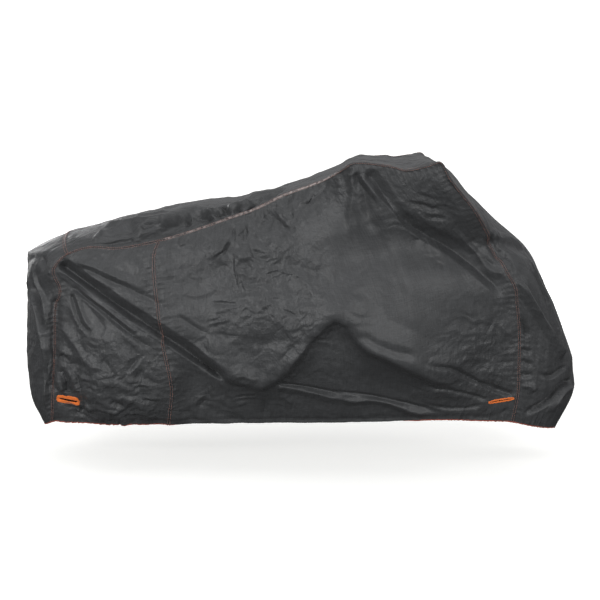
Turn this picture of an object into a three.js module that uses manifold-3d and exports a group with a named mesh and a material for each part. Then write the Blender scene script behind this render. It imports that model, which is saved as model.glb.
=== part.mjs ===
// A fitted motorcycle cover of thin coated cloth, as it hangs over the machine that it hides.
// Millimetres; x runs from tail to nose, z up, and the near side is at -y. The tables give
// heights above the ground, and the finished group is lowered so that z = 0 is where it is held up.
import * as THREE from "three";
import { mergeVertices } from "three/addons/utils/BufferGeometryUtils.js";
import Module from "manifold-3d";

const wasm = await Module();
wasm.setup();

// Cloth thicknesses: one layer, the turned hem, and the folded tape round a lock slot
const CLOTH = 2;
const HEM_CLOTH = 3.2;
const TAPE_CLOTH = 4;

// Clearance between two pieces that are sewn together, and the width of the turned hem
const SEAM_GAP = 0.4;
const HEM_DEPTH = 24;

// Where the top of the cover is held up: the middle of the underside over the tank
const CARRIER_X = 0;

// Sections of the centre strip from the tail hem over the top to the nose hem. Its side seam runs
// through (seamX, half-width seamY, seamZ) and its middle through (midX, midZ). The strip is bent
// between them: round 1 is an ellipse, under 1 is squarer and 2 is a straight slope.
const STRIP = [
  { at: "tail hem", seamX: -989, seamY: 175, seamZ: 174, midX: -1047, midZ: 127, round: 1.1 },
  { at: "lower tail", seamX: -975, seamY: 215, seamZ: 291, midX: -1095, midZ: 240, round: 1.1 },
  { at: "middle tail", seamX: -957, seamY: 238, seamZ: 475, midX: -1111, midZ: 432, round: 1.15 },
  { at: "upper tail", seamX: -948, seamY: 245, seamZ: 643, midX: -1108, midZ: 614, round: 1.2 },
  { at: "tail tuck", seamX: -930, seamY: 243, seamZ: 712, midX: -1104, midZ: 688, round: 1.25 },
  { at: "below the corner", seamX: -953, seamY: 254, seamZ: 789, midX: -1100, midZ: 778, round: 1.3 },
  { at: "tail corner", seamX: -935, seamY: 256, seamZ: 822, midX: -1094, midZ: 836, round: 1.4 },
  { at: "rack seam", seamX: -896, seamY: 254, seamZ: 853, midX: -934, midZ: 916, round: 1.1 },
  { at: "rack", seamX: -810, seamY: 257, seamZ: 880, midX: -835, midZ: 942, round: 0.9 },
  { at: "rear of seat", seamX: -700, seamY: 270, seamZ: 878, midX: -726, midZ: 973, round: 0.85 },
  { at: "side seam", seamX: -542, seamY: 266, seamZ: 907, midX: -564, midZ: 1009, round: 0.8 },
  { at: "seat", seamX: -377, seamY: 250, seamZ: 955, midX: -394, midZ: 1043, round: 0.75 },
  { at: "front of seat", seamX: -258, seamY: 236, seamZ: 997, midX: -266, midZ: 1054, round: 0.75 },
  { at: "rear of tank", seamX: -181, seamY: 230, seamZ: 1023, midX: -181, midZ: 1075, round: 0.85 },
  { at: "tank", seamX: -62, seamY: 240, seamZ: 1080, midX: -64, midZ: 1099, round: 1.0 },
  { at: "front of tank", seamX: 84, seamY: 292, seamZ: 1138, midX: 88, midZ: 1150, round: 1.2 },
  { at: "behind the grip", seamX: 161, seamY: 372, seamZ: 1175, midX: 160, midZ: 1178, round: 1.6 },
  { at: "grip", seamX: 199, seamY: 405, seamZ: 1212, midX: 232, midZ: 1205, round: 1.8 },
  { at: "between the bar ends", seamX: 335, seamY: 390, seamZ: 1198, midX: 360, midZ: 1214, round: 1.8 },
  { at: "dip", seamX: 392, seamY: 386, seamZ: 1184, midX: 412, midZ: 1216, round: 1.8 },
  { at: "behind the guard", seamX: 476, seamY: 399, seamZ: 1202, midX: 480, midZ: 1218, round: 1.8 },
  { at: "guard corner", seamX: 521, seamY: 405, seamZ: 1214, midX: 548, midZ: 1196, round: 1.8 },
  { at: "guard front", seamX: 562, seamY: 394, seamZ: 1150, midX: 602, midZ: 1156, round: 1.7 },
  { at: "brow", seamX: 663, seamY: 332, seamZ: 1026, midX: 704, midZ: 1043, round: 1.5 },
  { at: "pocket", seamX: 748, seamY: 232, seamZ: 890, midX: 812, midZ: 948, round: 1.3 },
  { at: "lip", seamX: 797, seamY: 250, seamZ: 788, midX: 922, midZ: 843, round: 1.2 },
  { at: "below the lip", seamX: 834, seamY: 244, seamZ: 726, midX: 965, midZ: 764, round: 1.25 },
  { at: "lamp", seamX: 846, seamY: 230, seamZ: 652, midX: 1025, midZ: 635, round: 1.3 },
  { at: "mudguard", seamX: 859, seamY: 212, seamZ: 551, midX: 1068, midZ: 532, round: 1.3 },
  { at: "nose", seamX: 864, seamY: 195, seamZ: 400, midX: 1123, midZ: 366, round: 1.2 },
  { at: "lower nose", seamX: 866, seamY: 180, seamZ: 300, midX: 1122, midZ: 262, round: 1.15 },
  { at: "nose hem", seamX: 849, seamY: 155, seamZ: 168, midX: 1051, midZ: 114, round: 1.1 },
];

// The lower edge of a side, from the tail seam to the nose seam, drawn in by its elastic
const HEM = [
  { x: -989, y: 175, z: 174 },
  { x: -892, y: 205, z: 175 },
  { x: -750, y: 230, z: 177 },
  { x: -551, y: 246, z: 181 },
  { x: -275, y: 255, z: 182 },
  { x: 0, y: 252, z: 183 },
  { x: 236, y: 242, z: 186 },
  { x: 434, y: 228, z: 187 },
  { x: 579, y: 208, z: 187 },
  { x: 717, y: 180, z: 178 },
  { x: 849, y: 155, z: 168 },
];

// Half-widths of the side at heights above the ground, in mm, a row for each station along x.
// The panniers, the engine guard and the two bar ends push it out, and the waist under the guard
// and the belly let it in.
const HEIGHTS = [200, 320, 450, 600, 750, 880, 1000, 1120, 1220];
const HALF_WIDTHS = [
  { x: -980, at: [180, 218, 236, 244, 248, 255, 250, 250, 250] },
  { x: -900, at: [205, 240, 262, 276, 284, 262, 250, 250, 250] },
  { x: -780, at: [225, 285, 318, 334, 338, 282, 255, 250, 250] },
  { x: -560, at: [245, 300, 336, 352, 350, 296, 250, 245, 245] },
  { x: -380, at: [255, 310, 346, 360, 352, 322, 240, 235, 235] },
  { x: -180, at: [256, 320, 368, 386, 374, 338, 262, 222, 220] },
  { x: 20, at: [254, 325, 385, 410, 400, 368, 324, 266, 255] },
  { x: 200, at: [246, 325, 392, 420, 410, 396, 394, 400, 405] },
  { x: 350, at: [236, 305, 372, 400, 390, 368, 374, 388, 392] },
  { x: 500, at: [218, 282, 336, 360, 346, 316, 342, 390, 402] },
  { x: 650, at: [195, 246, 288, 302, 294, 272, 322, 380, 400] },
  { x: 800, at: [168, 206, 232, 246, 250, 246, 290, 350, 380] },
  { x: 880, at: [155, 190, 212, 224, 232, 238, 270, 330, 360] },
];

// The seam that joins a side's rear and main panels: x at heights above the ground
const SIDE_SEAM = [
  { z: 180, x: -516 },
  { z: 340, x: -498 },
  { z: 495, x: -521 },
  { z: 660, x: -544 },
  { z: 845, x: -560 },
  { z: 907, x: -542 },
];

// Folds of the near side, drawn in side view. A path's points are [x, z]. A groove sinks and a
// ridge rises by its height. A ledge stands out above its path and falls back below it. The reach
// of the fold above and below the path widens from its start to its end by the factor spread.
// Crease 1 is a sharp fold and 2 a soft one. The fold fades in and out over a share of its length.
const NEAR_FOLDS = [
  { name: "long pull", kind: "groove", height: 34, above: 27, below: 17,
    spread: 1.5, crease: 1.5, fadeIn: 0.06, fadeOut: 0.12,
    path: [[-930, 818], [-801, 745], [-686, 670], [-531, 570], [-444, 497], [-349, 435], [-262, 366]] },
  { name: "roll under the long pull", kind: "ridge", height: 18, above: 20, below: 30,
    spread: 1.3, crease: 1.6, fadeIn: 0.1, fadeOut: 0.3,
    path: [[-925, 790], [-801, 716], [-686, 640], [-541, 536], [-454, 462], [-372, 405]] },
  { name: "second pull", kind: "groove", height: 13, above: 15, below: 17,
    spread: 1.4, crease: 1.5, fadeIn: 0.1, fadeOut: 0.4,
    path: [[-925, 768], [-879, 737], [-802, 686], [-688, 606], [-555, 508], [-470, 440]] },
  { name: "soft pull", kind: "groove", height: 13, above: 30, below: 22,
    spread: 1.5, crease: 1.8, fadeIn: 0.2, fadeOut: 0.5,
    path: [[-880, 826], [-762, 768], [-545, 667], [-374, 572], [-229, 519]] },
  { name: "belly rear", kind: "ledge", height: 30, above: 70, below: 60,
    spread: 1.2, crease: 1.3, fadeIn: 0.25, fadeOut: 0.1,
    path: [[-330, 410], [-277, 374], [-212, 350], [-139, 333]] },
  { name: "belly rise", kind: "ledge", height: 36, above: 60, below: 80,
    spread: 1.2, crease: 1.3, fadeIn: 0.08, fadeOut: 0.12,
    path: [[-139, 333], [-81, 367], [19, 499], [76, 559], [128, 603]] },
  { name: "belly fall", kind: "ledge", height: 38, above: 90, below: 110,
    spread: 1.0, crease: 1.4, fadeIn: 0.04, fadeOut: 0.45,
    path: [[128, 603], [181, 573], [231, 518], [311, 462], [428, 419], [619, 342], [744, 297]] },
  { name: "low roll", kind: "ridge", height: 16, above: 18, below: 26,
    spread: 1.2, crease: 1.4, fadeIn: 0.12, fadeOut: 0.3,
    path: [[-139, 344], [0, 334], [120, 302], [295, 288], [397, 262], [579, 208]] },
  { name: "grip ridge", kind: "ridge", height: 12, above: 18, below: 18,
    spread: 1.8, crease: 1.3, fadeIn: 0.04, fadeOut: 0.6,
    path: [[199, 1196], [201, 1074], [199, 887], [190, 760]] },
  { name: "grip hollow", kind: "groove", height: 26, above: 26, below: 22,
    spread: 1.9, crease: 1.6, fadeIn: 0.08, fadeOut: 0.5,
    path: [[214, 1184], [246, 1092], [285, 1017], [301, 910]] },
  { name: "grip pull", kind: "ridge", height: 13, above: 18, below: 15,
    spread: 2.0, crease: 1.3, fadeIn: 0.05, fadeOut: 0.4,
    path: [[214, 1192], [276, 1111], [337, 1036], [414, 922]] },
  { name: "waist", kind: "groove", height: 34, above: 42, below: 38,
    spread: 1.3, crease: 1.8, fadeIn: 0.25, fadeOut: 0.3,
    path: [[290, 1130], [356, 1061], [472, 968], [571, 880], [691, 770], [770, 660]] },
  { name: "upper brow fold", kind: "groove", height: 9, above: 12, below: 13,
    spread: 1.0, crease: 1.3, fadeIn: 0.3, fadeOut: 0.2,
    path: [[392, 1107], [467, 1094], [551, 1073]] },
  { name: "middle brow fold", kind: "groove", height: 11, above: 13, below: 14,
    spread: 1.0, crease: 1.3, fadeIn: 0.2, fadeOut: 0.2,
    path: [[401, 1072], [468, 1060], [556, 1036]] },
  { name: "lower brow fold", kind: "groove", height: 9, above: 12, below: 13,
    spread: 1.0, crease: 1.3, fadeIn: 0.2, fadeOut: 0.3,
    path: [[468, 1020], [562, 995]] },
  { name: "lip", kind: "ridge", height: 22, above: 18, below: 30,
    spread: 1.0, crease: 1.4, fadeIn: 0.3, fadeOut: 0.15,
    path: [[618, 945], [651, 890], [692, 842], [745, 800], [785, 780]] },
  { name: "upper slot pull", kind: "groove", height: 15, above: 14, below: 18,
    spread: 0.7, crease: 1.4, fadeIn: 0.4, fadeOut: 0.1,
    path: [[458, 453], [577, 405], [700, 347], [788, 300]] },
  { name: "lower slot pull", kind: "groove", height: 10, above: 16, below: 18,
    spread: 0.8, crease: 1.4, fadeIn: 0.4, fadeOut: 0.15,
    path: [[463, 355], [603, 311], [729, 274]] },
  { name: "packed crease along", kind: "ledge", height: 5, above: 40, below: 30,
    spread: 1.0, crease: 1.2, fadeIn: 0.05, fadeOut: 0.2,
    path: [[-558, 846], [-419, 837], [-247, 835]] },
  { name: "packed crease down", kind: "ledge", height: 5, above: 30, below: 40,
    spread: 1.0, crease: 1.2, fadeIn: 0.2, fadeOut: 0.3,
    path: [[-239, 979], [-232, 835], [-224, 674]] },
  { name: "facet by the seat", kind: "groove", height: 14, above: 20, below: 26,
    spread: 1.3, crease: 1.4, fadeIn: 0.3, fadeOut: 0.2,
    path: [[-335, 846], [-298, 880], [-249, 925]] },
  { name: "tank hollow", kind: "groove", height: 22, above: 26, below: 34,
    spread: 1.2, crease: 1.6, fadeIn: 0.25, fadeOut: 0.3,
    path: [[-145, 1013], [-80, 984], [-25, 930]] },
  { name: "tank ruck", kind: "ridge", height: 12, above: 18, below: 20,
    spread: 1.0, crease: 1.5, fadeIn: 0.3, fadeOut: 0.3,
    path: [[-160, 730], [-90, 790], [0, 780], [60, 700]] },
  { name: "pannier fan", kind: "groove", height: 20, above: 16, below: 18,
    spread: 1.4, crease: 1.5, fadeIn: 0.15, fadeOut: 0.4,
    path: [[-893, 712], [-850, 629], [-800, 560]] },
  { name: "tail fan", kind: "groove", height: 14, above: 15, below: 20,
    spread: 1.3, crease: 1.6, fadeIn: 0.2, fadeOut: 0.3,
    path: [[-920, 650], [-900, 523], [-868, 365], [-850, 310]] },
  { name: "rear ruck", kind: "ridge", height: 12, above: 22, below: 22,
    spread: 1.2, crease: 1.5, fadeIn: 0.25, fadeOut: 0.35,
    path: [[-760, 560], [-700, 480], [-650, 390], [-640, 300]] },
  { name: "rear sag", kind: "groove", height: 11, above: 20, below: 20,
    spread: 1.2, crease: 1.5, fadeIn: 0.3, fadeOut: 0.4,
    path: [[-800, 470], [-740, 370], [-610, 330], [-560, 290]] },
];

// Folds of the far side, of the same kinds, drawn in side view
const FAR_FOLDS = [
  { name: "far long pull", kind: "groove", height: 30, above: 26, below: 18,
    spread: 1.6, crease: 1.5, fadeIn: 0.08, fadeOut: 0.15,
    path: [[-925, 812], [-790, 716], [-640, 622], [-480, 520], [-330, 452], [-210, 372]] },
  { name: "far roll", kind: "ridge", height: 17, above: 22, below: 28,
    spread: 1.3, crease: 1.6, fadeIn: 0.1, fadeOut: 0.3,
    path: [[-915, 776], [-790, 680], [-640, 586], [-500, 490], [-380, 420]] },
  { name: "far belly rise", kind: "ledge", height: 36, above: 60, below: 80,
    spread: 1.2, crease: 1.4, fadeIn: 0.3, fadeOut: 0.12,
    path: [[-230, 352], [-90, 380], [20, 470], [110, 560]] },
  { name: "far belly fall", kind: "ledge", height: 40, above: 90, below: 110,
    spread: 1.0, crease: 1.4, fadeIn: 0.05, fadeOut: 0.45,
    path: [[110, 560], [220, 520], [360, 450], [560, 370], [730, 300]] },
  { name: "far grip ridge", kind: "ridge", height: 14, above: 16, below: 18,
    spread: 1.8, crease: 1.4, fadeIn: 0.05, fadeOut: 0.6,
    path: [[199, 1192], [190, 1050], [160, 860], [130, 700]] },
  { name: "far grip hollow", kind: "groove", height: 24, above: 26, below: 24,
    spread: 1.9, crease: 1.6, fadeIn: 0.08, fadeOut: 0.5,
    path: [[216, 1184], [262, 1084], [316, 990], [340, 870]] },
  { name: "far waist", kind: "groove", height: 34, above: 42, below: 40,
    spread: 1.3, crease: 1.8, fadeIn: 0.25, fadeOut: 0.3,
    path: [[300, 1120], [390, 1030], [500, 940], [600, 860], [720, 750]] },
  { name: "far brow fold", kind: "groove", height: 12, above: 14, below: 14,
    spread: 1.0, crease: 1.3, fadeIn: 0.25, fadeOut: 0.25,
    path: [[380, 1086], [470, 1080], [560, 1046]] },
  { name: "far slot pull", kind: "groove", height: 14, above: 15, below: 18,
    spread: 0.8, crease: 1.4, fadeIn: 0.4, fadeOut: 0.1,
    path: [[420, 430], [570, 380], [700, 330], [790, 296]] },
  { name: "far tank hollow", kind: "groove", height: 20, above: 28, below: 34,
    spread: 1.2, crease: 1.6, fadeIn: 0.25, fadeOut: 0.3,
    path: [[-220, 990], [-130, 950], [-60, 880]] },
  { name: "far pannier fan", kind: "groove", height: 18, above: 16, below: 20,
    spread: 1.4, crease: 1.5, fadeIn: 0.2, fadeOut: 0.4,
    path: [[-880, 700], [-820, 590], [-790, 460], [-800, 340]] },
  { name: "far rear ruck", kind: "ridge", height: 13, above: 22, below: 24,
    spread: 1.2, crease: 1.5, fadeIn: 0.25, fadeOut: 0.35,
    path: [[-700, 520], [-640, 420], [-560, 350], [-540, 270]] },
  { name: "far low roll", kind: "ridge", height: 15, above: 18, below: 26,
    spread: 1.2, crease: 1.4, fadeIn: 0.2, fadeOut: 0.3,
    path: [[-60, 300], [120, 290], [300, 270], [480, 230]] },
];

// Folds of the centre strip. The view says which way each is drawn: top view [x, y], and tail or
// nose view [y, z]. A fold fades where the cloth turns away from its view.
const STRIP_FOLDS = [
  { name: "rack ledge", view: "top", kind: "groove", height: 15, above: 26, below: 14,
    spread: 1.2, crease: 1.4, fadeIn: 0.15, fadeOut: 0.3,
    path: [[-640, -175], [-520, -165], [-400, -120], [-310, -70]] },
  { name: "seat ledge", view: "top", kind: "groove", height: 13, above: 22, below: 14,
    spread: 1.2, crease: 1.4, fadeIn: 0.15, fadeOut: 0.3,
    path: [[-400, -195], [-290, -165], [-190, -140], [-90, -120]] },
  { name: "rack pull", view: "top", kind: "ridge", height: 10, above: 22, below: 28,
    spread: 1.3, crease: 1.4, fadeIn: 0.15, fadeOut: 0.3,
    path: [[-900, -190], [-780, -150], [-640, -60], [-520, 20]] },
  { name: "far seat ledge", view: "top", kind: "groove", height: 13, above: 16, below: 24,
    spread: 1.2, crease: 1.4, fadeIn: 0.2, fadeOut: 0.3,
    path: [[-600, 150], [-430, 165], [-280, 120], [-160, 90]] },
  { name: "tank cross fold", view: "top", kind: "groove", height: 10, above: 20, below: 20,
    spread: 1.1, crease: 1.6, fadeIn: 0.25, fadeOut: 0.25,
    path: [[-120, -160], [-60, -40], [-90, 70], [-150, 160]] },
  { name: "grip to grip", view: "top", kind: "ridge", height: 10, above: 22, below: 34,
    spread: 1.0, crease: 1.5, fadeIn: 0.12, fadeOut: 0.12,
    path: [[205, -380], [224, -200], [230, 0], [226, 200], [205, 380]] },
  { name: "bar hollow", view: "top", kind: "groove", height: 22, above: 60, below: 60,
    spread: 1.0, crease: 1.9, fadeIn: 0.25, fadeOut: 0.25,
    path: [[370, -330], [385, -120], [380, 120], [362, 330]] },
  { name: "guard pull", view: "top", kind: "ridge", height: 9, above: 22, below: 22,
    spread: 1.2, crease: 1.3, fadeIn: 0.1, fadeOut: 0.4,
    path: [[500, -385], [440, -260], [360, -120], [300, 0]] },
  { name: "far guard pull", view: "top", kind: "ridge", height: 10, above: 22, below: 22,
    spread: 1.2, crease: 1.3, fadeIn: 0.1, fadeOut: 0.4,
    path: [[505, 385], [455, 250], [400, 120], [350, 10]] },
  { name: "tail fan middle", view: "tail", kind: "groove", height: 20, above: 26, below: 28,
    spread: 1.3, crease: 1.5, fadeIn: 0.1, fadeOut: 0.3,
    path: [[-60, 790], [-110, 640], [-160, 480], [-178, 340]] },
  { name: "tail fan side", view: "tail", kind: "groove", height: 14, above: 20, below: 24,
    spread: 1.3, crease: 1.4, fadeIn: 0.1, fadeOut: 0.4,
    path: [[-150, 800], [-190, 690], [-215, 590], [-205, 460]] },
  { name: "tail fan far", view: "tail", kind: "groove", height: 18, above: 26, below: 26,
    spread: 1.3, crease: 1.5, fadeIn: 0.1, fadeOut: 0.3,
    path: [[30, 800], [70, 620], [105, 450], [110, 300]] },
  { name: "tail fan far side", view: "tail", kind: "groove", height: 15, above: 22, below: 22,
    spread: 1.3, crease: 1.4, fadeIn: 0.1, fadeOut: 0.4,
    path: [[130, 790], [175, 660], [200, 520], [195, 380]] },
  { name: "nose pull", view: "nose", kind: "ridge", height: 15, above: 22, below: 32,
    spread: 1.1, crease: 1.3, fadeIn: 0.06, fadeOut: 0.1,
    path: [[-238, 795], [-165, 640], [-90, 490], [-20, 372]] },
  { name: "far nose pull", view: "nose", kind: "ridge", height: 14, above: 30, below: 22,
    spread: 1.1, crease: 1.3, fadeIn: 0.06, fadeOut: 0.15,
    path: [[238, 790], [180, 650], [120, 520], [60, 400]] },
  { name: "brow fold", view: "nose", kind: "groove", height: 20, above: 18, below: 22,
    spread: 1.2, crease: 1.5, fadeIn: 0.1, fadeOut: 0.35,
    path: [[-225, 905], [-150, 880], [-70, 850], [0, 838]] },
  { name: "far brow fold", view: "nose", kind: "groove", height: 18, above: 18, below: 22,
    spread: 1.2, crease: 1.5, fadeIn: 0.1, fadeOut: 0.35,
    path: [[225, 900], [150, 872], [80, 862], [20, 850]] },
  { name: "lower nose fold", view: "nose", kind: "groove", height: 15, above: 24, below: 26,
    spread: 1.2, crease: 1.4, fadeIn: 0.15, fadeOut: 0.2,
    path: [[-165, 235], [-95, 290], [-30, 345], [25, 352]] },
];

// The taped slots that a lock chain passes through, in side view: centre, length and height over the
// tape, width of the tape and tilt from level in degrees. Both sides have the same two, and the
// front one is drawn nearly shut. Their outline is blunt: bluntness 0.55 is an ellipse and 1 a box.
const SLOT_BLUNTNESS = 0.78;
const LOCK_SLOTS = [
  { end: "rear", x: -913, z: 272, length: 106, height: 38, tape: 14, tilt: -7 },
  { end: "front", x: 800, z: 262, length: 108, height: 20, tape: 7, tilt: 7 },
];

// Faceting: cells of a panel's coarse net, how far a facet may lie off the cloth, and how often a
// coarse cell may be halved. Seams keep the same points on both of the panels that they join.
const NET = {
  sideColumnsRear: 5, sideColumnsMain: 15, sideRows: 12, stripAcross: 6, tailRows: 12,
  facetError: 5.5, halvings: 8, shortestSide: 28, trialSteps: 4,
};

// The value of a table column at a station, on a smooth curve through its rows
function columnAt(rows, key, column, station) {
  let i = 0;
  while (i < rows.length - 2 && station > rows[i + 1][key]) i += 1;
  const before = rows[Math.max(i - 1, 0)];
  const [from, to] = [rows[i], rows[i + 1]];
  const after = rows[Math.min(i + 2, rows.length - 1)];
  const span = to[key] - from[key];
  const share = THREE.MathUtils.clamp((station - from[key]) / span, 0, 1);
  const slopeIn = ((to[column] - before[column]) / (to[key] - before[key])) * span;
  const slopeOut = ((after[column] - from[column]) / (after[key] - from[key])) * span;
  const s2 = share * share;
  const s3 = s2 * share;
  return (2 * s3 - 3 * s2 + 1) * from[column] + (s3 - 2 * s2 + share) * slopeIn
    + (3 * s2 - 2 * s3) * to[column] + (s3 - s2) * slopeOut;
}

// The half-width of a side at a place in side view
function halfWidth(x, z) {
  const across = HEIGHTS.map((height, i) => ({
    height,
    y: columnAt(HALF_WIDTH_ROWS, "x", i, x),
  }));
  return columnAt(across, "height", "y", z);
}
const HALF_WIDTH_ROWS = HALF_WIDTHS.map((row) => ({ x: row.x, ...row.at }));

const rowOf = (at) => STRIP.findIndex((row) => row.at === at) / (STRIP.length - 1);
const RACK_SEAM = rowOf("rack seam");
const GUARD_CORNER = rowOf("guard corner");
const seamCurve = new THREE.CatmullRomCurve3(
  STRIP.map((row) => new THREE.Vector3(row.seamX, -row.seamY, row.seamZ)), false, "centripetal");
const midCurve = new THREE.CatmullRomCurve3(
  STRIP.map((row) => new THREE.Vector3(row.midX, 0, row.midZ)), false, "centripetal");

// The place between two others, by halving, up to which a test holds
const HALVINGS = 36;
function lastWhere(holds, from, to) {
  let [low, high] = [from, to];
  for (let step = 0; step < HALVINGS; step += 1) {
    const middle = (low + high) / 2;
    if (holds(middle)) low = middle;
    else high = middle;
  }
  return (low + high) / 2;
}

// A function of one share that keeps what it has found
function remembered(find) {
  const known = new Map();
  return (share) => {
    if (!known.has(share)) known.set(share, find(share));
    return known.get(share);
  };
}

// The strip station, 0 to 1, between two others where the seam's x or z has a value
function stationWhere(axis, value, from, to) {
  const rising = seamCurve.getPoint(to)[axis] > seamCurve.getPoint(from)[axis];
  return lastWhere((station) => seamCurve.getPoint(station)[axis] < value === rising, from, to);
}

// The strip's stations along the tail, the top and the nose for a share of each, 0 to 1
const tailZ = [STRIP[0].seamZ, seamCurve.getPoint(RACK_SEAM).z];
const topX = [seamCurve.getPoint(RACK_SEAM).x, seamCurve.getPoint(GUARD_CORNER).x];
const noseZ = [seamCurve.getPoint(1).z, seamCurve.getPoint(GUARD_CORNER).z];
const stationAt = (axis, ends, from, to) => remembered(
  (share) => stationWhere(axis, THREE.MathUtils.lerp(ends[0], ends[1], share), from, to));
const tailStation = stationAt("z", tailZ, 0, RACK_SEAM);
const topStation = stationAt("x", topX, RACK_SEAM, GUARD_CORNER);
const noseStation = stationAt("z", noseZ, GUARD_CORNER, 1);

// The nearest place on a fold's path: the signed distance, positive above or left of the path, and
// the share of its length gone
function nearestOnPath(path, a, b) {
  const lengths = path.slice(1).map((end, i) => Math.hypot(end[0] - path[i][0], end[1] - path[i][1]));
  const whole = lengths.reduce((sum, length) => sum + length, 0);
  let best = { distance: Infinity };
  let gone = 0;
  lengths.forEach((length, i) => {
    const [dirA, dirB] = [(path[i + 1][0] - path[i][0]) / length, (path[i + 1][1] - path[i][1]) / length];
    const [offA, offB] = [a - path[i][0], b - path[i][1]];
    const along = THREE.MathUtils.clamp(offA * dirA + offB * dirB, 0, length);
    const distance = Math.hypot(offA - along * dirA, offB - along * dirB);
    if (distance < best.distance) {
      const side = Math.sign(dirA * offB - dirB * offA) || 1;
      best = { distance, side: side * distance, share: (gone + along) / whole };
    }
    gone += length;
  });
  return best;
}

// A fold counts up to some reaches from its path, and a ledge turns over within its edge
const REACHES = 3;
const LEDGE_EDGE = 16;
for (const fold of [...NEAR_FOLDS, ...FAR_FOLDS, ...STRIP_FOLDS]) {
  const room = REACHES * Math.max(fold.above, fold.below) * Math.max(1, fold.spread);
  fold.span = [0, 1].map((axis) => {
    const along = fold.path.map((place) => place[axis]);
    return [Math.min(...along) - room, Math.max(...along) + room];
  });
}

// How far a fold lifts the cloth at a place in its view
function foldLift(fold, a, b) {
  const [spanA, spanB] = fold.span;
  if (a < spanA[0] || a > spanA[1] || b < spanB[0] || b > spanB[1]) return 0;
  const { side, share } = nearestOnPath(fold.path, a, b);
  const reach = (side > 0 ? fold.above : fold.below) * THREE.MathUtils.lerp(1, fold.spread, share);
  if (Math.abs(side) > REACHES * reach) return 0;
  const fade = THREE.MathUtils.smoothstep(share, 0, fold.fadeIn)
    * THREE.MathUtils.smoothstep(1 - share, 0, fold.fadeOut);
  const lift = fold.height * fade * Math.exp(-(Math.abs(side / reach) ** fold.crease));
  return { groove: -lift, ridge: lift, ledge: lift * Math.tanh(side / LEDGE_EDGE) }[fold.kind];
}
const foldsLift = (folds, a, b) => folds.reduce((sum, fold) => sum + foldLift(fold, a, b), 0);

// The lower edge of the near side at a share of its length
function hemPoint(share) {
  const x = THREE.MathUtils.lerp(HEM[0].x, HEM[HEM.length - 1].x, share);
  return new THREE.Vector3(x, -columnAt(HEM, "x", "y", x), columnAt(HEM, "x", "z", x));
}

// Four curves joined by a smooth sheet: u runs from the tail seam to the nose seam and v from the
// hem to the top seam
function coons(curves, u, v) {
  const { tail, nose, hem, top } = curves;
  return new THREE.Vector3()
    .addScaledVector(tail(v), 1 - u).addScaledVector(nose(v), u)
    .addScaledVector(hem(u), 1 - v).addScaledVector(top(u), v)
    .addScaledVector(hem(0), -(1 - u) * (1 - v)).addScaledVector(hem(1), -u * (1 - v))
    .addScaledVector(top(0), -(1 - u) * v).addScaledVector(top(1), -u * v);
}
const offTable = (point) => new THREE.Vector3(point.x, -point.y - halfWidth(point.x, point.z), point.z);
const sideCurves = {
  tail: remembered((v) => seamCurve.getPoint(tailStation(v))),
  nose: remembered((v) => seamCurve.getPoint(noseStation(v))),
  hem: remembered(hemPoint),
  top: remembered((u) => seamCurve.getPoint(topStation(u))),
};
const offTableCurves = Object.fromEntries(
  Object.entries(sideCurves).map(([name, curve]) => [name, remembered((share) => offTable(curve(share)))]));

// A fold on a side dies out within a short way of the seams of the centre strip
const FOLD_MARGIN = 45;
function marginFade(point, u, v) {
  const toEdge = [sideCurves.tail(v), sideCurves.nose(v), sideCurves.top(u)]
    .map((edge) => edge.distanceTo(point));
  return THREE.MathUtils.smoothstep(Math.min(...toEdge), 0, FOLD_MARGIN);
}

// The cloth of a side at (u, v), 0 to 1 each way, on the near side of the cover
function sidePoint(folds, u, v) {
  const flat = coons(sideCurves, u, v);
  const y = halfWidth(flat.x, flat.z) + coons(offTableCurves, u, v).y;
  const base = new THREE.Vector3(flat.x, -y, flat.z);
  return base.setY(-y - foldsLift(folds, flat.x, flat.z) * marginFade(base, u, v));
}

// Where on a side the seam between its rear and main panels runs, as u at a height share v
const SIDE_SEAM_NEAR_U = 0.25;
const sideSeamU = remembered((v) => {
  const x = columnAt(SIDE_SEAM, "z", "x", coons(sideCurves, SIDE_SEAM_NEAR_U, v).z);
  return lastWhere((u) => coons(sideCurves, u, v).x < x, 0, 1);
});

// The cloth of the centre strip at a station and an offset across it, from -1 at the near seam to
// 1 at the far seam
function smoothStripPoint(station, across) {
  const seam = seamCurve.getPoint(station);
  const middle = midCurve.getPoint(station);
  const row = station * (STRIP.length - 1);
  const i = Math.min(Math.floor(row), STRIP.length - 2);
  const round = THREE.MathUtils.lerp(STRIP[i].round, STRIP[i + 1].round, row - i);
  const turn = (Math.abs(across) * Math.PI) / 2;
  const out = Math.sin(turn) ** round;
  const fall = 1 - Math.cos(turn) ** round;
  return new THREE.Vector3(
    THREE.MathUtils.lerp(middle.x, seam.x, fall),
    -Math.sign(across) * seam.y * out,
    THREE.MathUtils.lerp(middle.z, seam.z, fall));
}
const STRIP_VIEWS = {
  top: { toward: new THREE.Vector3(0, 0, 1), drawn: (p) => [p.x, p.y] },
  tail: { toward: new THREE.Vector3(-1, 0, 0), drawn: (p) => [p.y, p.z] },
  nose: { toward: new THREE.Vector3(1, 0, 0), drawn: (p) => [p.y, p.z] },
};
const STRIP_MARGIN = 0.12;
function stripPoint(station, across) {
  const point = smoothStripPoint(station, across);
  const normal = normalOf(smoothStripPoint, station, across);
  const fade = THREE.MathUtils.smoothstep(1 - Math.abs(across), 0, STRIP_MARGIN);
  const lift = STRIP_FOLDS.reduce((sum, fold) => {
    const view = STRIP_VIEWS[fold.view];
    return sum + foldLift(fold, ...view.drawn(point)) * Math.max(0, normal.dot(view.toward));
  }, 0);
  return point.addScaledVector(normal, lift * fade);
}

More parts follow.
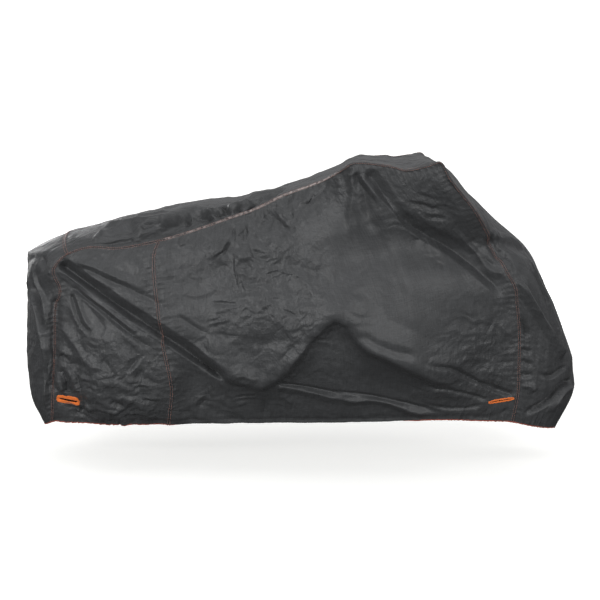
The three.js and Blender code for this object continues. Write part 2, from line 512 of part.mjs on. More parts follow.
// The unit normal of a surface, by differences that stay inside its square or strip
const STRIP_STEP = [0.003, 0.01];
const PANEL_STEP = [0.004, 0.006];
function normalOf(surface, a, b, low = [0, -1], high = [1, 1], step = STRIP_STEP) {
  const a0 = Math.max(a - step[0], low[0]);
  const a1 = Math.min(a + step[0], high[0]);
  const b0 = Math.max(b - step[1], low[1]);
  const b1 = Math.min(b + step[1], high[1]);
  const alongA = surface(a1, b).sub(surface(a0, b));
  const alongB = surface(a, b1).sub(surface(a, b0));
  return alongA.cross(alongB).normalize();
}

// A seam is a row of points that both of its panels share
const HAIR = 1e-6;
class Seam {
  constructor(segments, pointAt) {
    this.segments = segments;
    this.points = Array.from({ length: segments + 1 }, (_, k) => pointAt(k / segments));
  }

  // The straight stretches between the seam's points, at a share of its length
  between(list, share) {
    const place = THREE.MathUtils.clamp(share, 0, 1) * this.segments;
    const i = Math.min(Math.floor(place), this.segments - 1);
    return list[i].clone().lerp(list[i + 1], place - i);
  }

  point(share) {
    return this.between(this.points, share);
  }

  hasPoint(share) {
    const place = share * this.segments;
    return Math.abs(place - Math.round(place)) < HAIR;
  }

  // The inward step of both panels' edges, for one millimetre of cloth
  inward(share) {
    this.steps ??= this.points.map(inwardStep);
    return this.between(this.steps, share);
  }
}

// The normals of all panels that meet at a point of a seam, and the step inward that they share
const gathered = new Map();
const placeKey = (point) => point.toArray().map((value) => Math.round(value)).join(" ");
function gatherNormal(point, normal) {
  const key = placeKey(point);
  gathered.set(key, [...(gathered.get(key) ?? []), normal]);
}
const LEAST_FACING = 0.5;
function inwardStep(point) {
  const normals = gathered.get(placeKey(point));
  const mean = normals.reduce((sum, normal) => sum.add(normal), new THREE.Vector3()).normalize();
  const facing = Math.max(LEAST_FACING, Math.min(...normals.map((normal) => normal.dot(mean))));
  return mean.multiplyScalar(-1 / facing);
}

// Where in a cell the cloth is tried, as weights of the cell's three corners
const TRIALS = [];
for (let i = 0; i <= NET.trialSteps; i += 1) {
  for (let j = 0; i + j <= NET.trialSteps; j += 1) {
    TRIALS.push([i, j, NET.trialSteps - i - j].map((part) => part / NET.trialSteps));
  }
}

// A side of a cell is cut where it spans more than one stretch of a seam, and a seam's points are
// drawn back towards the surface this share of the square within
const MORE_THAN_ONE = 1.5;
const INSIDE = 0.02;

// A panel of cloth: its surface over the unit square, the columns and rows of its coarse net, and
// what bounds it: a stretch of a seam, or the hem where no seam is given. Facing is -1 where the
// surface's own normal points into the cover.
class Panel {
  constructor({ name, surface, columns, rows, facing = 1, left, right, bottom, top }) {
    Object.assign(this, { name, surface, columns, rows, facing, edges: { left, right, bottom, top } });
    this.corners = [];
    this.indexOf = new Map();
    this.cells = this.coarseCells();
    for (let round = 0; round < NET.halvings; round += 1) this.cells = this.halve(this.cells);
    this.gatherNormals();
  }

  // The sewn sides of the square that a place lies on, with the share of the seam that is there
  edgesAt(u, v) {
    const sides = [["left", u === 0, v], ["right", u === 1, v], ["bottom", v === 0, u], ["top", v === 1, u]];
    return sides.filter(([side, on]) => on && this.edges[side]).map(([side, , along]) => {
      const { seam, from, to } = this.edges[side];
      return { side, seam, share: THREE.MathUtils.lerp(from, to, along) };
    });
  }

  normal(u, v) {
    return normalOf(this.surface, u, v, [0, 0], [1, 1], PANEL_STEP).multiplyScalar(this.facing);
  }

  corner(u, v) {
    const key = `${u} ${v}`;
    if (!this.indexOf.has(key)) {
      const [sewn] = this.edgesAt(u, v);
      const point = sewn ? sewn.seam.point(sewn.share) : this.surface(u, v);
      this.indexOf.set(key, this.corners.length);
      this.corners.push({ u, v, point });
    }
    return this.indexOf.get(key);
  }

  // Two right triangles for each cell, written as the ends of the longest side and the corner
  coarseCells() {
    const cells = [];
    for (let i = 0; i < this.columns; i += 1) {
      for (let j = 0; j < this.rows; j += 1) {
        const [u0, u1] = [i / this.columns, (i + 1) / this.columns];
        const [v0, v1] = [j / this.rows, (j + 1) / this.rows];
        const [a, b, c, d] = [[u0, v0], [u1, v0], [u1, v1], [u0, v1]].map(([u, v]) => this.corner(u, v));
        if ((i + j) % 2) cells.push([a, c, b], [c, a, d]);
        else cells.push([b, d, c], [d, b, a]);
      }
    }
    return cells;
  }

  // One round of halving: a marked cell's longest side is cut, and so is that of each cell it meets
  halve(cells) {
    const sideKey = (p, q) => (p < q ? `${p} ${q}` : `${q} ${p}`);
    const marked = new Set();
    for (const [left, right, apex] of cells) {
      if (this.needsHalving(left, right, apex)) marked.add(sideKey(left, right));
    }
    for (let grew = true; grew;) {
      grew = false;
      for (const [left, right, apex] of cells) {
        const touched = marked.has(sideKey(left, apex)) || marked.has(sideKey(right, apex));
        if (touched && !marked.has(sideKey(left, right))) {
          marked.add(sideKey(left, right));
          grew = true;
        }
      }
    }
    const cut = ([left, right, apex]) => {
      if (!marked.has(sideKey(left, right))) return [[left, right, apex]];
      const [p, q] = [this.corners[left], this.corners[right]];
      const middle = this.corner((p.u + q.u) / 2, (p.v + q.v) / 2);
      return [...cut([apex, left, middle]), ...cut([right, apex, middle])];
    };
    return cells.flatMap(cut);
  }

  // Whether a cell lies too far off the cloth, seen along its own normal, at any of the trial places
  needsHalving(left, right, apex) {
    const trio = [left, right, apex].map((index) => this.corners[index]);
    if (this.seamWantsPoint(trio)) return true;
    if (trio[0].point.distanceTo(trio[1].point) < NET.shortestSide) return false;
    const [a, b, c] = trio.map((corner) => corner.point);
    const normal = b.clone().sub(a).cross(c.clone().sub(a)).normalize();
    return TRIALS.some((weights) => {
      const u = trio.reduce((sum, corner, i) => sum + corner.u * weights[i], 0);
      const v = trio.reduce((sum, corner, i) => sum + corner.v * weights[i], 0);
      return Math.abs(this.surface(u, v).sub(a).dot(normal)) > NET.facetError;
    });
  }

  // Whether a side of the cell spans more than one stretch of a seam
  seamWantsPoint(trio) {
    return Object.keys(this.edges).some((side) => {
      const on = trio.flatMap(({ u, v }) => this.edgesAt(u, v).filter((edge) => edge.side === side));
      return on.length === 2 && Math.abs(on[0].share - on[1].share) * on[0].seam.segments > MORE_THAN_ONE;
    });
  }

  gatherNormals() {
    for (const { u, v, point } of this.corners) {
      const atPoint = this.edgesAt(u, v).some(({ seam, share }) => seam.hasPoint(share));
      if (atPoint) gatherNormal(point, this.normal(u, v));
    }
  }

  // The way back from a seam into the panel, half of the gap long
  pullBack({ u, v, point }) {
    const sewn = this.edgesAt(u, v);
    if (!sewn.length) return new THREE.Vector3();
    const [innerU, innerV] = [u, v].map((share) => THREE.MathUtils.clamp(share, INSIDE, 1 - INSIDE));
    return this.surface(innerU, innerV).sub(point).setLength((SEAM_GAP / 2) * Math.sqrt(sewn.length));
  }

  // The cloth's thickness at a place: more on the turned hem
  depth({ u, v, point }) {
    const nearest = { left: [0, v], right: [1, v], bottom: [u, 0], top: [u, 1] };
    const hems = Object.keys(this.edges).filter((side) => !this.edges[side]);
    const onHem = hems.some((side) => this.surface(...nearest[side]).distanceTo(point) < HEM_DEPTH);
    return onHem ? HEM_CLOTH : CLOTH;
  }

  // The closed sheet. Its outer face stands proud of the cloth's face, and its inner face lies the
  // thickness within that.
  sheet(proud = 0, thickness = null) {
    const outer = [];
    const inner = [];
    for (const corner of this.corners) {
      const [sewn] = this.edgesAt(corner.u, corner.v);
      const step = sewn ? sewn.seam.inward(sewn.share) : this.normal(corner.u, corner.v).negate();
      const edge = corner.point.clone().add(this.pullBack(corner));
      outer.push(edge.clone().addScaledVector(step, -proud));
      inner.push(edge.clone().addScaledVector(step, (thickness ?? this.depth(corner)) - proud));
    }
    return closedSheet(this.cells, outer, inner, this.facing);
  }
}

const RISING = new THREE.Vector3(0.14, 0.09, 1);

// Outer faces, inner faces turned round, and a rim between them. The rim's diagonals run from the
// lower end outside to the higher end inside, so that the rims of two panels lie flat to each other.
function closedSheet(cells, outer, inner, facing) {
  const count = outer.length;
  const faces = cells.map(([a, b, c]) => (facing > 0 ? [a, c, b] : [a, b, c]));
  const open = new Map();
  for (const face of faces) {
    face.forEach((from, i) => {
      const to = face[(i + 1) % 3];
      if (!open.delete(`${to} ${from}`)) open.set(`${from} ${to}`, [from, to]);
    });
  }
  const height = (index) => outer[index].dot(RISING);
  const rim = [...open.values()].flatMap(([from, to]) => (height(from) < height(to)
    ? [[to, from, to + count], [from, from + count, to + count]]
    : [[to, from, from + count], [to, from + count, to + count]]));
  const turned = faces.map(([a, b, c]) => [a + count, c + count, b + count]);
  const geometry = new THREE.BufferGeometry();
  const places = [...outer, ...inner].flatMap((point) => point.toArray());
  geometry.setAttribute("position", new THREE.Float32BufferAttribute(places, 3));
  geometry.setIndex([...faces, ...turned, ...rim].flat());
  return geometry;
}

// Closed meshes as solids that can be cut, and back
const SAME_PLACE = 1e-4;
function solidOf(geometry) {
  const bare = geometry.clone();
  bare.deleteAttribute("normal");
  bare.deleteAttribute("uv");
  const merged = mergeVertices(bare, SAME_PLACE);
  return new wasm.Manifold(new wasm.Mesh({
    numProp: 3,
    vertProperties: merged.getAttribute("position").array,
    triVerts: new Uint32Array(merged.index.array),
  }));
}
function geometryOf(solid) {
  const mesh = solid.getMesh();
  const geometry = new THREE.BufferGeometry();
  geometry.setAttribute("position", new THREE.Float32BufferAttribute(mesh.vertProperties, 3));
  geometry.setIndex(Array.from(mesh.triVerts));
  return geometry;
}

// A bar through one side of the cover, grown from a lock slot's outline
const SLOT_ROUNDING = 4;
const BAR_REACH = [60, 460];
function slotBar(slot, grown, side) {
  const [a, b] = [slot.length / 2 + grown, slot.height / 2 + grown];
  const [c, d] = [a * SLOT_BLUNTNESS, b * SLOT_BLUNTNESS];
  const outline = new THREE.Shape();
  outline.moveTo(-a, 0);
  outline.bezierCurveTo(-a, d, -c, b, 0, b);
  outline.bezierCurveTo(c, b, a, d, a, 0);
  outline.bezierCurveTo(a, -d, c, -b, 0, -b);
  outline.bezierCurveTo(-c, -b, -a, -d, -a, 0);
  const bar = new THREE.ExtrudeGeometry(outline, {
    depth: BAR_REACH[1] - BAR_REACH[0], bevelEnabled: false, curveSegments: SLOT_ROUNDING,
  });
  const place = new THREE.Matrix4().makeTranslation(slot.x, side > 0 ? BAR_REACH[1] : -BAR_REACH[0], slot.z)
    .multiply(new THREE.Matrix4().makeRotationX(Math.PI / 2))
    .multiply(new THREE.Matrix4().makeRotationZ(THREE.MathUtils.degToRad(slot.tilt)));
  return solidOf(bar.applyMatrix4(place));
}

// How many stretches each seam has: the tail seam, the long seam over the side seam and the guard
// corner to the nose hem, the side seam and the seam across the rack
const STRETCHES = { tail: 24, toSideSeam: 10, toGuard: 40, long: 64, side: 48, rack: 12 };
const longStation = (share) => {
  const place = share * STRETCHES.long;
  if (place <= STRETCHES.toGuard) return topStation(place / STRETCHES.toGuard);
  return noseStation(1 - (place - STRETCHES.toGuard) / (STRETCHES.long - STRETCHES.toGuard));
};
const mirrored = (point) => point.clone().setY(-point.y);

// The seams and side surfaces of one side: 1 is the far side and -1 the near side
function sideOf(side) {
  const folds = side < 0 ? NEAR_FOLDS : FAR_FOLDS;
  const turned = (point) => (side < 0 ? point : mirrored(point));
  const surface = (u, v) => turned(sidePoint(folds, u, v));
  return {
    surface,
    tail: new Seam(STRETCHES.tail, (share) => turned(seamCurve.getPoint(tailStation(share)))),
    long: new Seam(STRETCHES.long, (share) => turned(seamCurve.getPoint(longStation(share)))),
    seam: new Seam(STRETCHES.side, (share) => surface(sideSeamU(share), share)),
  };
}
const near = sideOf(-1);
const far = sideOf(1);
const rackSeam = new Seam(STRETCHES.rack, (share) => stripPoint(RACK_SEAM, 2 * share - 1));

const whole = (seam) => ({ seam, from: 0, to: 1 });
const stretch = (seam, from, to) => ({ seam, from: from / seam.segments, to: to / seam.segments });

const strip = {
  tail: new Panel({
    name: "tail_panel", columns: NET.tailRows, rows: NET.stripAcross,
    surface: (u, v) => stripPoint(tailStation(u), 2 * v - 1),
    right: whole(rackSeam), bottom: whole(near.tail), top: whole(far.tail),
  }),
  centre: new Panel({
    name: "centre_panel", columns: STRETCHES.long / 2, rows: NET.stripAcross,
    surface: (u, v) => stripPoint(longStation(u), 2 * v - 1),
    left: whole(rackSeam), bottom: whole(near.long), top: whole(far.long),
  }),
};

// The two panels of a side
function sidePanels(label, { surface, tail, long, seam }, facing) {
  const { toSideSeam, toGuard } = STRETCHES;
  return {
    rear: new Panel({
      name: `${label}_rear_side_panel`, columns: NET.sideColumnsRear, rows: NET.sideRows, facing,
      surface: (u, v) => surface(u * sideSeamU(v), v),
      left: whole(tail), right: whole(seam), top: stretch(long, 0, toSideSeam),
    }),
    front: new Panel({
      name: `${label}_main_side_panel`, columns: NET.sideColumnsMain, rows: NET.sideRows, facing,
      surface: (u, v) => surface(THREE.MathUtils.lerp(sideSeamU(v), 1, u), v),
      left: whole(seam), right: stretch(long, long.segments, toGuard),
      top: stretch(long, toSideSeam, toGuard),
    }),
  };
}
const panels = { right: sidePanels("right", near, 1), left: sidePanels("left", far, -1) };

const cloth = { color: 0x3f4145, roughness: 0.55, metalness: 0 };
const tape = { color: 0xe8762b, roughness: 0.7, metalness: 0 };
function meshOf(name, geometry, look) {
  const mesh = new THREE.Mesh(geometry, new THREE.MeshStandardMaterial(look));
  mesh.name = name;
  return mesh;
}

const cover = new THREE.Group();
for (const panel of Object.values(strip)) cover.add(meshOf(panel.name, panel.sheet(), cloth));

// Each side panel is cut out for its lock slot, and the tape that binds the slot fills the cut-out
const TAPE_PROUD = 1;
for (const [label, pair] of Object.entries(panels)) {
  const side = label === "right" ? -1 : 1;
  for (const slot of LOCK_SLOTS) {
    const panel = pair[slot.end];
    const cutOut = solidOf(panel.sheet()).subtract(slotBar(slot, SEAM_GAP, side));
    cover.add(meshOf(panel.name, geometryOf(cutOut), cloth));
    const ring = slotBar(slot, 0, side).subtract(slotBar(slot, -slot.tape, side));
    const bound = solidOf(panel.sheet(TAPE_PROUD, TAPE_CLOTH)).intersect(ring);
    cover.add(meshOf(`${label}_${slot.end}_lock_slot_tape`, geometryOf(bound), tape));
  }
}

// The zero of the frame is at the underside of the top over the tank
const carried = stripPoint(stationWhere("x", CARRIER_X, RACK_SEAM, GUARD_CORNER), 0);
cover.position.z = -(carried.z - CLOTH);
export default new THREE.Group().add(cover);
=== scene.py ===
"""A fitted motorcycle cover of thin coated cloth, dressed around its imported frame.

Tables and widths are in millimetres, with heights above the ground. The meshes are in metres in the
row's frame, whose zero is where the cover is held up over the tank.
"""

import logging
import math
from dataclasses import dataclass, field
from enum import Enum
from typing import Callable, NamedTuple

import bpy
import numpy as np
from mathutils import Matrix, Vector
from mathutils.bvhtree import BVHTree
from mathutils.geometry import delaunay_2d_cdt


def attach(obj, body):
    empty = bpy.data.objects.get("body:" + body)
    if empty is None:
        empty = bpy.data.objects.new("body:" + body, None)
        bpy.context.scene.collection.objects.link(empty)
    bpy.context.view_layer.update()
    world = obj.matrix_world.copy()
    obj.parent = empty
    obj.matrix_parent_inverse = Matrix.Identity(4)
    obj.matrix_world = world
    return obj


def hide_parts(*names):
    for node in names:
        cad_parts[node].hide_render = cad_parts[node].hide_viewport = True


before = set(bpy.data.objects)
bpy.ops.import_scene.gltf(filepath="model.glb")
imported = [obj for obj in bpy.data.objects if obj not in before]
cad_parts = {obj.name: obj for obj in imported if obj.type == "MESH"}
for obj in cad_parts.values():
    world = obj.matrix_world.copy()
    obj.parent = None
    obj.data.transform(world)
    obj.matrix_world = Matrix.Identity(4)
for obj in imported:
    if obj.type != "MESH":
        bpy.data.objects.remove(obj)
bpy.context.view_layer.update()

log = logging.getLogger("motorcycle_cover")
Array = np.ndarray

HELD_UP_AT = 1116.82  # height above the ground of the row's zero


class Kind(Enum):
    """The ways a fold runs: sunk in, standing out, or standing out above its line and falling back below it."""

    GROOVE = "groove"
    RIDGE = "ridge"
    LEDGE = "ledge"


class View(Enum):
    """The side that a fold is drawn from: the way toward the eye, and the drawing's two axes."""

    SIDE = ((0, -1, 0), (1, 0, 0), (0, 0, 1))
    TOP = ((0, 0, 1), (1, 0, 0), (0, 1, 0))
    TAIL = ((-1, 0, 0), (0, 1, 0), (0, 0, 1))
    NOSE = ((1, 0, 0), (0, 1, 0), (0, 0, 1))
    SLOPE = ((0, -0.6, 0.8), (1, 0, 0), (0, 0.8, 0.6))
    NEAR_NOSE = ((0.8, -0.6, 0), (0.6, 0.8, 0), (0, 0, 1))
    NEAR_TAIL = ((-0.8, -0.6, 0), (0.6, -0.8, 0), (0, 0, 1))


class Edge(Enum):
    """The four edges of a panel's grid."""

    START = "start"
    END = "end"
    LOW = "low"
    HIGH = "high"


class StripRow(NamedTuple):
    """A section of the centre strip: its side seam, its middle, and how it bends between them."""

    at: str
    seam_x: float
    seam_y: float
    seam_z: float
    mid_x: float
    mid_z: float
    bend: float


# From the tail hem over the top to the nose hem
STRIP = (
    StripRow("tail hem", -989, 175, 174, -1047, 142, 1.1),
    StripRow("lower tail", -975, 215, 291, -1095, 240, 1.1),
    StripRow("middle tail", -957, 238, 475, -1111, 432, 1.15),
    StripRow("upper tail", -948, 245, 643, -1108, 614, 1.2),
    StripRow("tail tuck", -930, 243, 712, -1104, 688, 1.25),
    StripRow("below the corner", -953, 254, 789, -1100, 778, 1.3),
    StripRow("tail corner", -935, 256, 822, -1094, 836, 1.4),
    StripRow("rack seam", -896, 254, 853, -934, 916, 1.1),
    StripRow("rack", -810, 257, 880, -835, 942, 0.9),
    StripRow("rear of seat", -700, 270, 878, -726, 973, 0.85),
    StripRow("side seam", -542, 266, 907, -564, 1009, 0.8),
    StripRow("seat", -377, 250, 955, -394, 1043, 0.75),
    StripRow("front of seat", -258, 236, 997, -266, 1054, 0.75),
    StripRow("rear of tank", -181, 230, 1023, -181, 1075, 0.85),
    StripRow("tank", -62, 240, 1080, -64, 1099, 1.0),
    StripRow("front of tank", 84, 292, 1138, 88, 1150, 1.2),
    StripRow("behind the grip", 161, 372, 1188, 160, 1174, 1.6),
    StripRow("grip", 199, 405, 1212, 232, 1205, 1.8),
    StripRow("between the bar ends", 335, 390, 1198, 360, 1214, 1.8),
    StripRow("dip", 392, 386, 1184, 412, 1216, 1.8),
    StripRow("behind the guard", 476, 399, 1202, 480, 1218, 1.8),
    StripRow("guard corner", 521, 405, 1214, 548, 1196, 1.8),
    StripRow("guard front", 562, 394, 1150, 602, 1156, 1.7),
    StripRow("brow", 663, 332, 1026, 704, 1043, 1.5),
    StripRow("pocket", 748, 232, 890, 812, 948, 1.3),
    StripRow("lip", 797, 250, 788, 922, 843, 1.2),
    StripRow("below the lip", 834, 244, 726, 965, 764, 1.25),
    StripRow("lamp", 846, 230, 652, 1025, 635, 1.3),
    StripRow("mudguard", 859, 212, 551, 1068, 532, 1.3),
    StripRow("nose", 864, 195, 400, 1123, 366, 1.2),
    StripRow("lower nose", 866, 180, 300, 1122, 262, 1.15),
    StripRow("nose hem", 849, 155, 168, 1051, 114, 1.1),
)

# A side's lower edge, drawn in by its elastic: x, y, z
HEM = np.array(
    [
        (-989, 175, 174), (-892, 205, 175), (-750, 230, 177), (-551, 246, 181), (-275, 255, 182),
        (0, 252, 183), (236, 242, 186), (434, 228, 187), (579, 208, 187), (717, 180, 178), (849, 155, 168),
    ],
    float,
)

# Half-widths of a side: a row for each station along x, a column for each height
HEIGHTS = np.array([200, 320, 450, 600, 750, 880, 1000, 1120, 1220], float)
STATIONS = np.array([-980, -900, -780, -560, -380, -180, 20, 200, 350, 500, 650, 800, 880], float)
HALF_WIDTHS = np.array(
    [
        (180, 218, 236, 244, 248, 255, 250, 250, 250),
        (205, 240, 262, 276, 284, 262, 250, 250, 250),
        (225, 285, 318, 334, 338, 282, 255, 250, 250),
        (245, 300, 336, 352, 350, 296, 250, 245, 245),
        (255, 310, 346, 360, 352, 322, 240, 235, 235),
        (256, 320, 368, 386, 374, 338, 262, 222, 220),
        (254, 325, 385, 410, 400, 368, 324, 266, 255),
        (246, 325, 392, 420, 410, 396, 394, 400, 405),
        (236, 305, 372, 400, 390, 368, 374, 388, 392),
        (218, 282, 336, 360, 346, 316, 342, 390, 402),
        (195, 246, 288, 302, 294, 272, 322, 380, 400),
        (168, 206, 232, 246, 250, 246, 290, 350, 380),
        (155, 190, 212, 224, 232, 238, 270, 330, 360),
    ],
    float,
)

# The seam between a side's rear and main panels: height, x
SIDE_SEAM = np.array([(180, -516), (340, -498), (495, -521), (660, -544), (845, -560), (907, -542)], float)


def ease(value: Array, low: float = 0.0, high: float = 1.0) -> Array:
    """Goes smoothly from 0 at low to 1 at high.

    Args:
        value: What is eased.
        low: Where the result is still 0.
        high: Where the result is 1.

    Returns:
        The eased value.
    """
    share = np.clip((value - low) / (high - low), 0, 1)
    return share * share * (3 - 2 * share)


def smooth_between(keys: Array, row: Callable[[Array], Array], at: Array) -> Array:
    """Reads a table on a smooth curve through its rows.

    Args:
        keys: The rising key of each row.
        row: Gives the rows' values for an array of row numbers.
        at: The keys to read at.

    Returns:
        The values there.
    """
    i = np.searchsorted(keys[1:-1], at, side="left")
    before, after = np.maximum(i - 1, 0), np.minimum(i + 2, len(keys) - 1)
    span = keys[i + 1] - keys[i]
    share = np.clip((at - keys[i]) / span, 0, 1)
    into = (row(i + 1) - row(before)) / (keys[i + 1] - keys[before]) * span
    out = (row(after) - row(i)) / (keys[after] - keys[i]) * span
    s2, s3 = share**2, share**3
    here = (2 * s3 - 3 * s2 + 1) * row(i) + (s3 - 2 * s2 + share) * into
    return here + (3 * s2 - 2 * s3) * row(i + 1) + (s3 - s2) * out


def run_along(points: Array) -> Array:
    """Gives how far along its line every point lies, for lines that run along the last axis but one."""
    steps = np.linalg.norm(np.diff(points, axis=-2), axis=-1)
    return np.concatenate([np.zeros((*steps.shape[:-1], 1)), np.cumsum(steps, axis=-1)], axis=-1)


def read_at(at: Array, keys: Array, values: Array) -> Array:
    """Reads the rows of a table at keys, straight from row to row."""
    return np.stack([np.interp(at, keys, column) for column in values.T], axis=-1)


def half_width(x: Array, z: Array) -> Array:
    """Gives how far a side stands out from the middle plane at a place in side view."""
    across = np.stack(
        [smooth_between(STATIONS, lambda i, c=c: HALF_WIDTHS[i, c], x) for c in range(len(HEIGHTS))], axis=-1
    )
    return smooth_between(HEIGHTS, lambda i: np.take_along_axis(across, i[..., None], -1)[..., 0], z)


def curve_through(points: Array, share: Array) -> Array:
    """Follows a centripetal curve through points.

    Args:
        points: The points, in order.
        share: Shares of the way through them, 0 to 1, with each stretch counted alike.

    Returns:
        The places on the curve.
    """
    padded = np.vstack([2 * points[0] - points[1], points, 2 * points[-1] - points[-2]])
    place = share * (len(points) - 1)
    i = np.clip(np.floor(place).astype(int), 0, len(points) - 2)
    w = (place - i)[..., None]
    p0, p1, p2, p3 = (padded[i + k] for k in range(4))
    d0, d1, d2 = (
        np.sqrt(np.linalg.norm(b - a, axis=-1, keepdims=True)) for a, b in ((p0, p1), (p1, p2), (p2, p3))
    )
    into = ((p1 - p0) / d0 - (p2 - p0) / (d0 + d1) + (p2 - p1) / d1) * d1
    out = ((p2 - p1) / d1 - (p3 - p1) / (d1 + d2) + (p3 - p2) / d2) * d1
    return p1 + into * w + (3 * (p2 - p1) - 2 * into - out) * w**2 + (2 * (p1 - p2) + into + out) * w**3


REPEAT = 64  # after this many waves or facets the random ones come again


def ripple(a: Array, b: Array, size: float, seed: int) -> Array:
    """Gives smooth random waves.

    Args:
        a: One coordinate in millimetres.
        b: The other.
        size: The width of a wave in millimetres.
        seed: Picks the waves.

    Returns:
        Values between about -1 and 1.
    """
    turns = np.random.default_rng(seed).random((REPEAT, REPEAT)) * math.tau
    x, y = a / size, b / size
    i, j = np.floor(x).astype(int), np.floor(y).astype(int)
    total = np.zeros(np.shape(x))
    for di in (0, 1):
        for dj in (0, 1):
            turn = turns[(i + di) % REPEAT, (j + dj) % REPEAT]
            dx, dy = x - i - di, y - j - dj
            total += ease(1 - abs(dx)) * ease(1 - abs(dy)) * (np.cos(turn) * dx + np.sin(turn) * dy)
    to_full = 1.6
    return to_full * total


class Fold(NamedTuple):
    """A fold of the cloth, drawn in a view.

    Its reach above and below its path grows by the factor spread from start to end. Crease 1 is a
    sharp fold and 2 a soft one, and it fades in and out over a share of its length.
    """

    kind: Kind
    height: float
    above: float
    below: float
    spread: float
    crease: float
    fade_in: float
    fade_out: float
    path: tuple[tuple[float, float], ...]
    view: View = View.SIDE

    def lift(self, a: Array, b: Array, faceted: float) -> Array:
        """Works out how far the fold lifts the cloth.

        Args:
            a: The first coordinates in the fold's view, in millimetres.
            b: The second coordinates.
            faceted: How much of the profile is flat facets with crisp edges, 0 to 1.

        Returns:
            The lift in millimetres.
        """
        reaches, facet_reach = 3, 1.9
        edge = 10 * self.crease**2
        path = curve_through(np.array(self.path, float), np.linspace(0, 1, 3 * len(self.path)))
        room = reaches * max(self.above, self.below) * max(1, self.spread)
        (low_a, low_b), (high_a, high_b) = path.min(0) - room, path.max(0) + room
        near = (a > low_a) & (a < high_a) & (b > low_b) & (b < high_b)
        lift = np.zeros(a.shape)
        if not near.any():
            return lift
        at = np.stack([a[near], b[near]], axis=-1)
        steps = np.diff(path, axis=0)
        lengths = np.linalg.norm(steps, axis=1)
        gone, whole = np.concatenate([[0], np.cumsum(lengths)]), lengths.sum()
        best, side, share = (np.full(len(at), value) for value in (np.inf, 0.0, 0.0))
        for start, step, length, before in zip(path, steps / lengths[:, None], lengths, gone):
            off = at - start
            along = np.clip(off @ step, 0, length)
            distance = np.linalg.norm(off - along[:, None] * step, axis=1)
            closer = distance < best
            best = np.where(closer, distance, best)
            turned = np.where(step[0] * off[:, 1] - step[1] * off[:, 0] < 0, -distance, distance)
            side, share = np.where(closer, turned, side), np.where(closer, (before + along) / whole, share)
        reach = np.where(side > 0, self.above, self.below) * (1 + (self.spread - 1) * share)
        q = best / reach
        soft = np.where(q < reaches, np.exp(-(q**self.crease)), 0)
        crisp = np.clip(1 - q / facet_reach, 0, 1)
        fade = ease(share, 0, self.fade_in) * ease(1 - share, 0, self.fade_out)
        profile = self.height * fade * (soft + (crisp - soft) * faceted)
        step = np.tanh(side / np.where(side > 0, edge, max(edge, 0.25 * self.below)))
        signs = {Kind.GROOVE: -1.0, Kind.RIDGE: 1.0, Kind.LEDGE: step}
        lift[near] = profile * signs[self.kind]
        return lift


def folds(view: View, rows: tuple[tuple, ...]) -> tuple[Fold, ...]:
    """Reads folds from a table.

    Args:
        view: The view that they are drawn in.
        rows: For each fold its kind, height, reach above and below, spread, crease and fades in and out, and
            then the two coordinates of its path's points in turn.

    Returns:
        The folds.
    """
    return tuple(Fold(*row[:8], tuple(zip(row[8::2], row[9::2])), view) for row in rows)


G, R, L = Kind.GROOVE, Kind.RIDGE, Kind.LEDGE

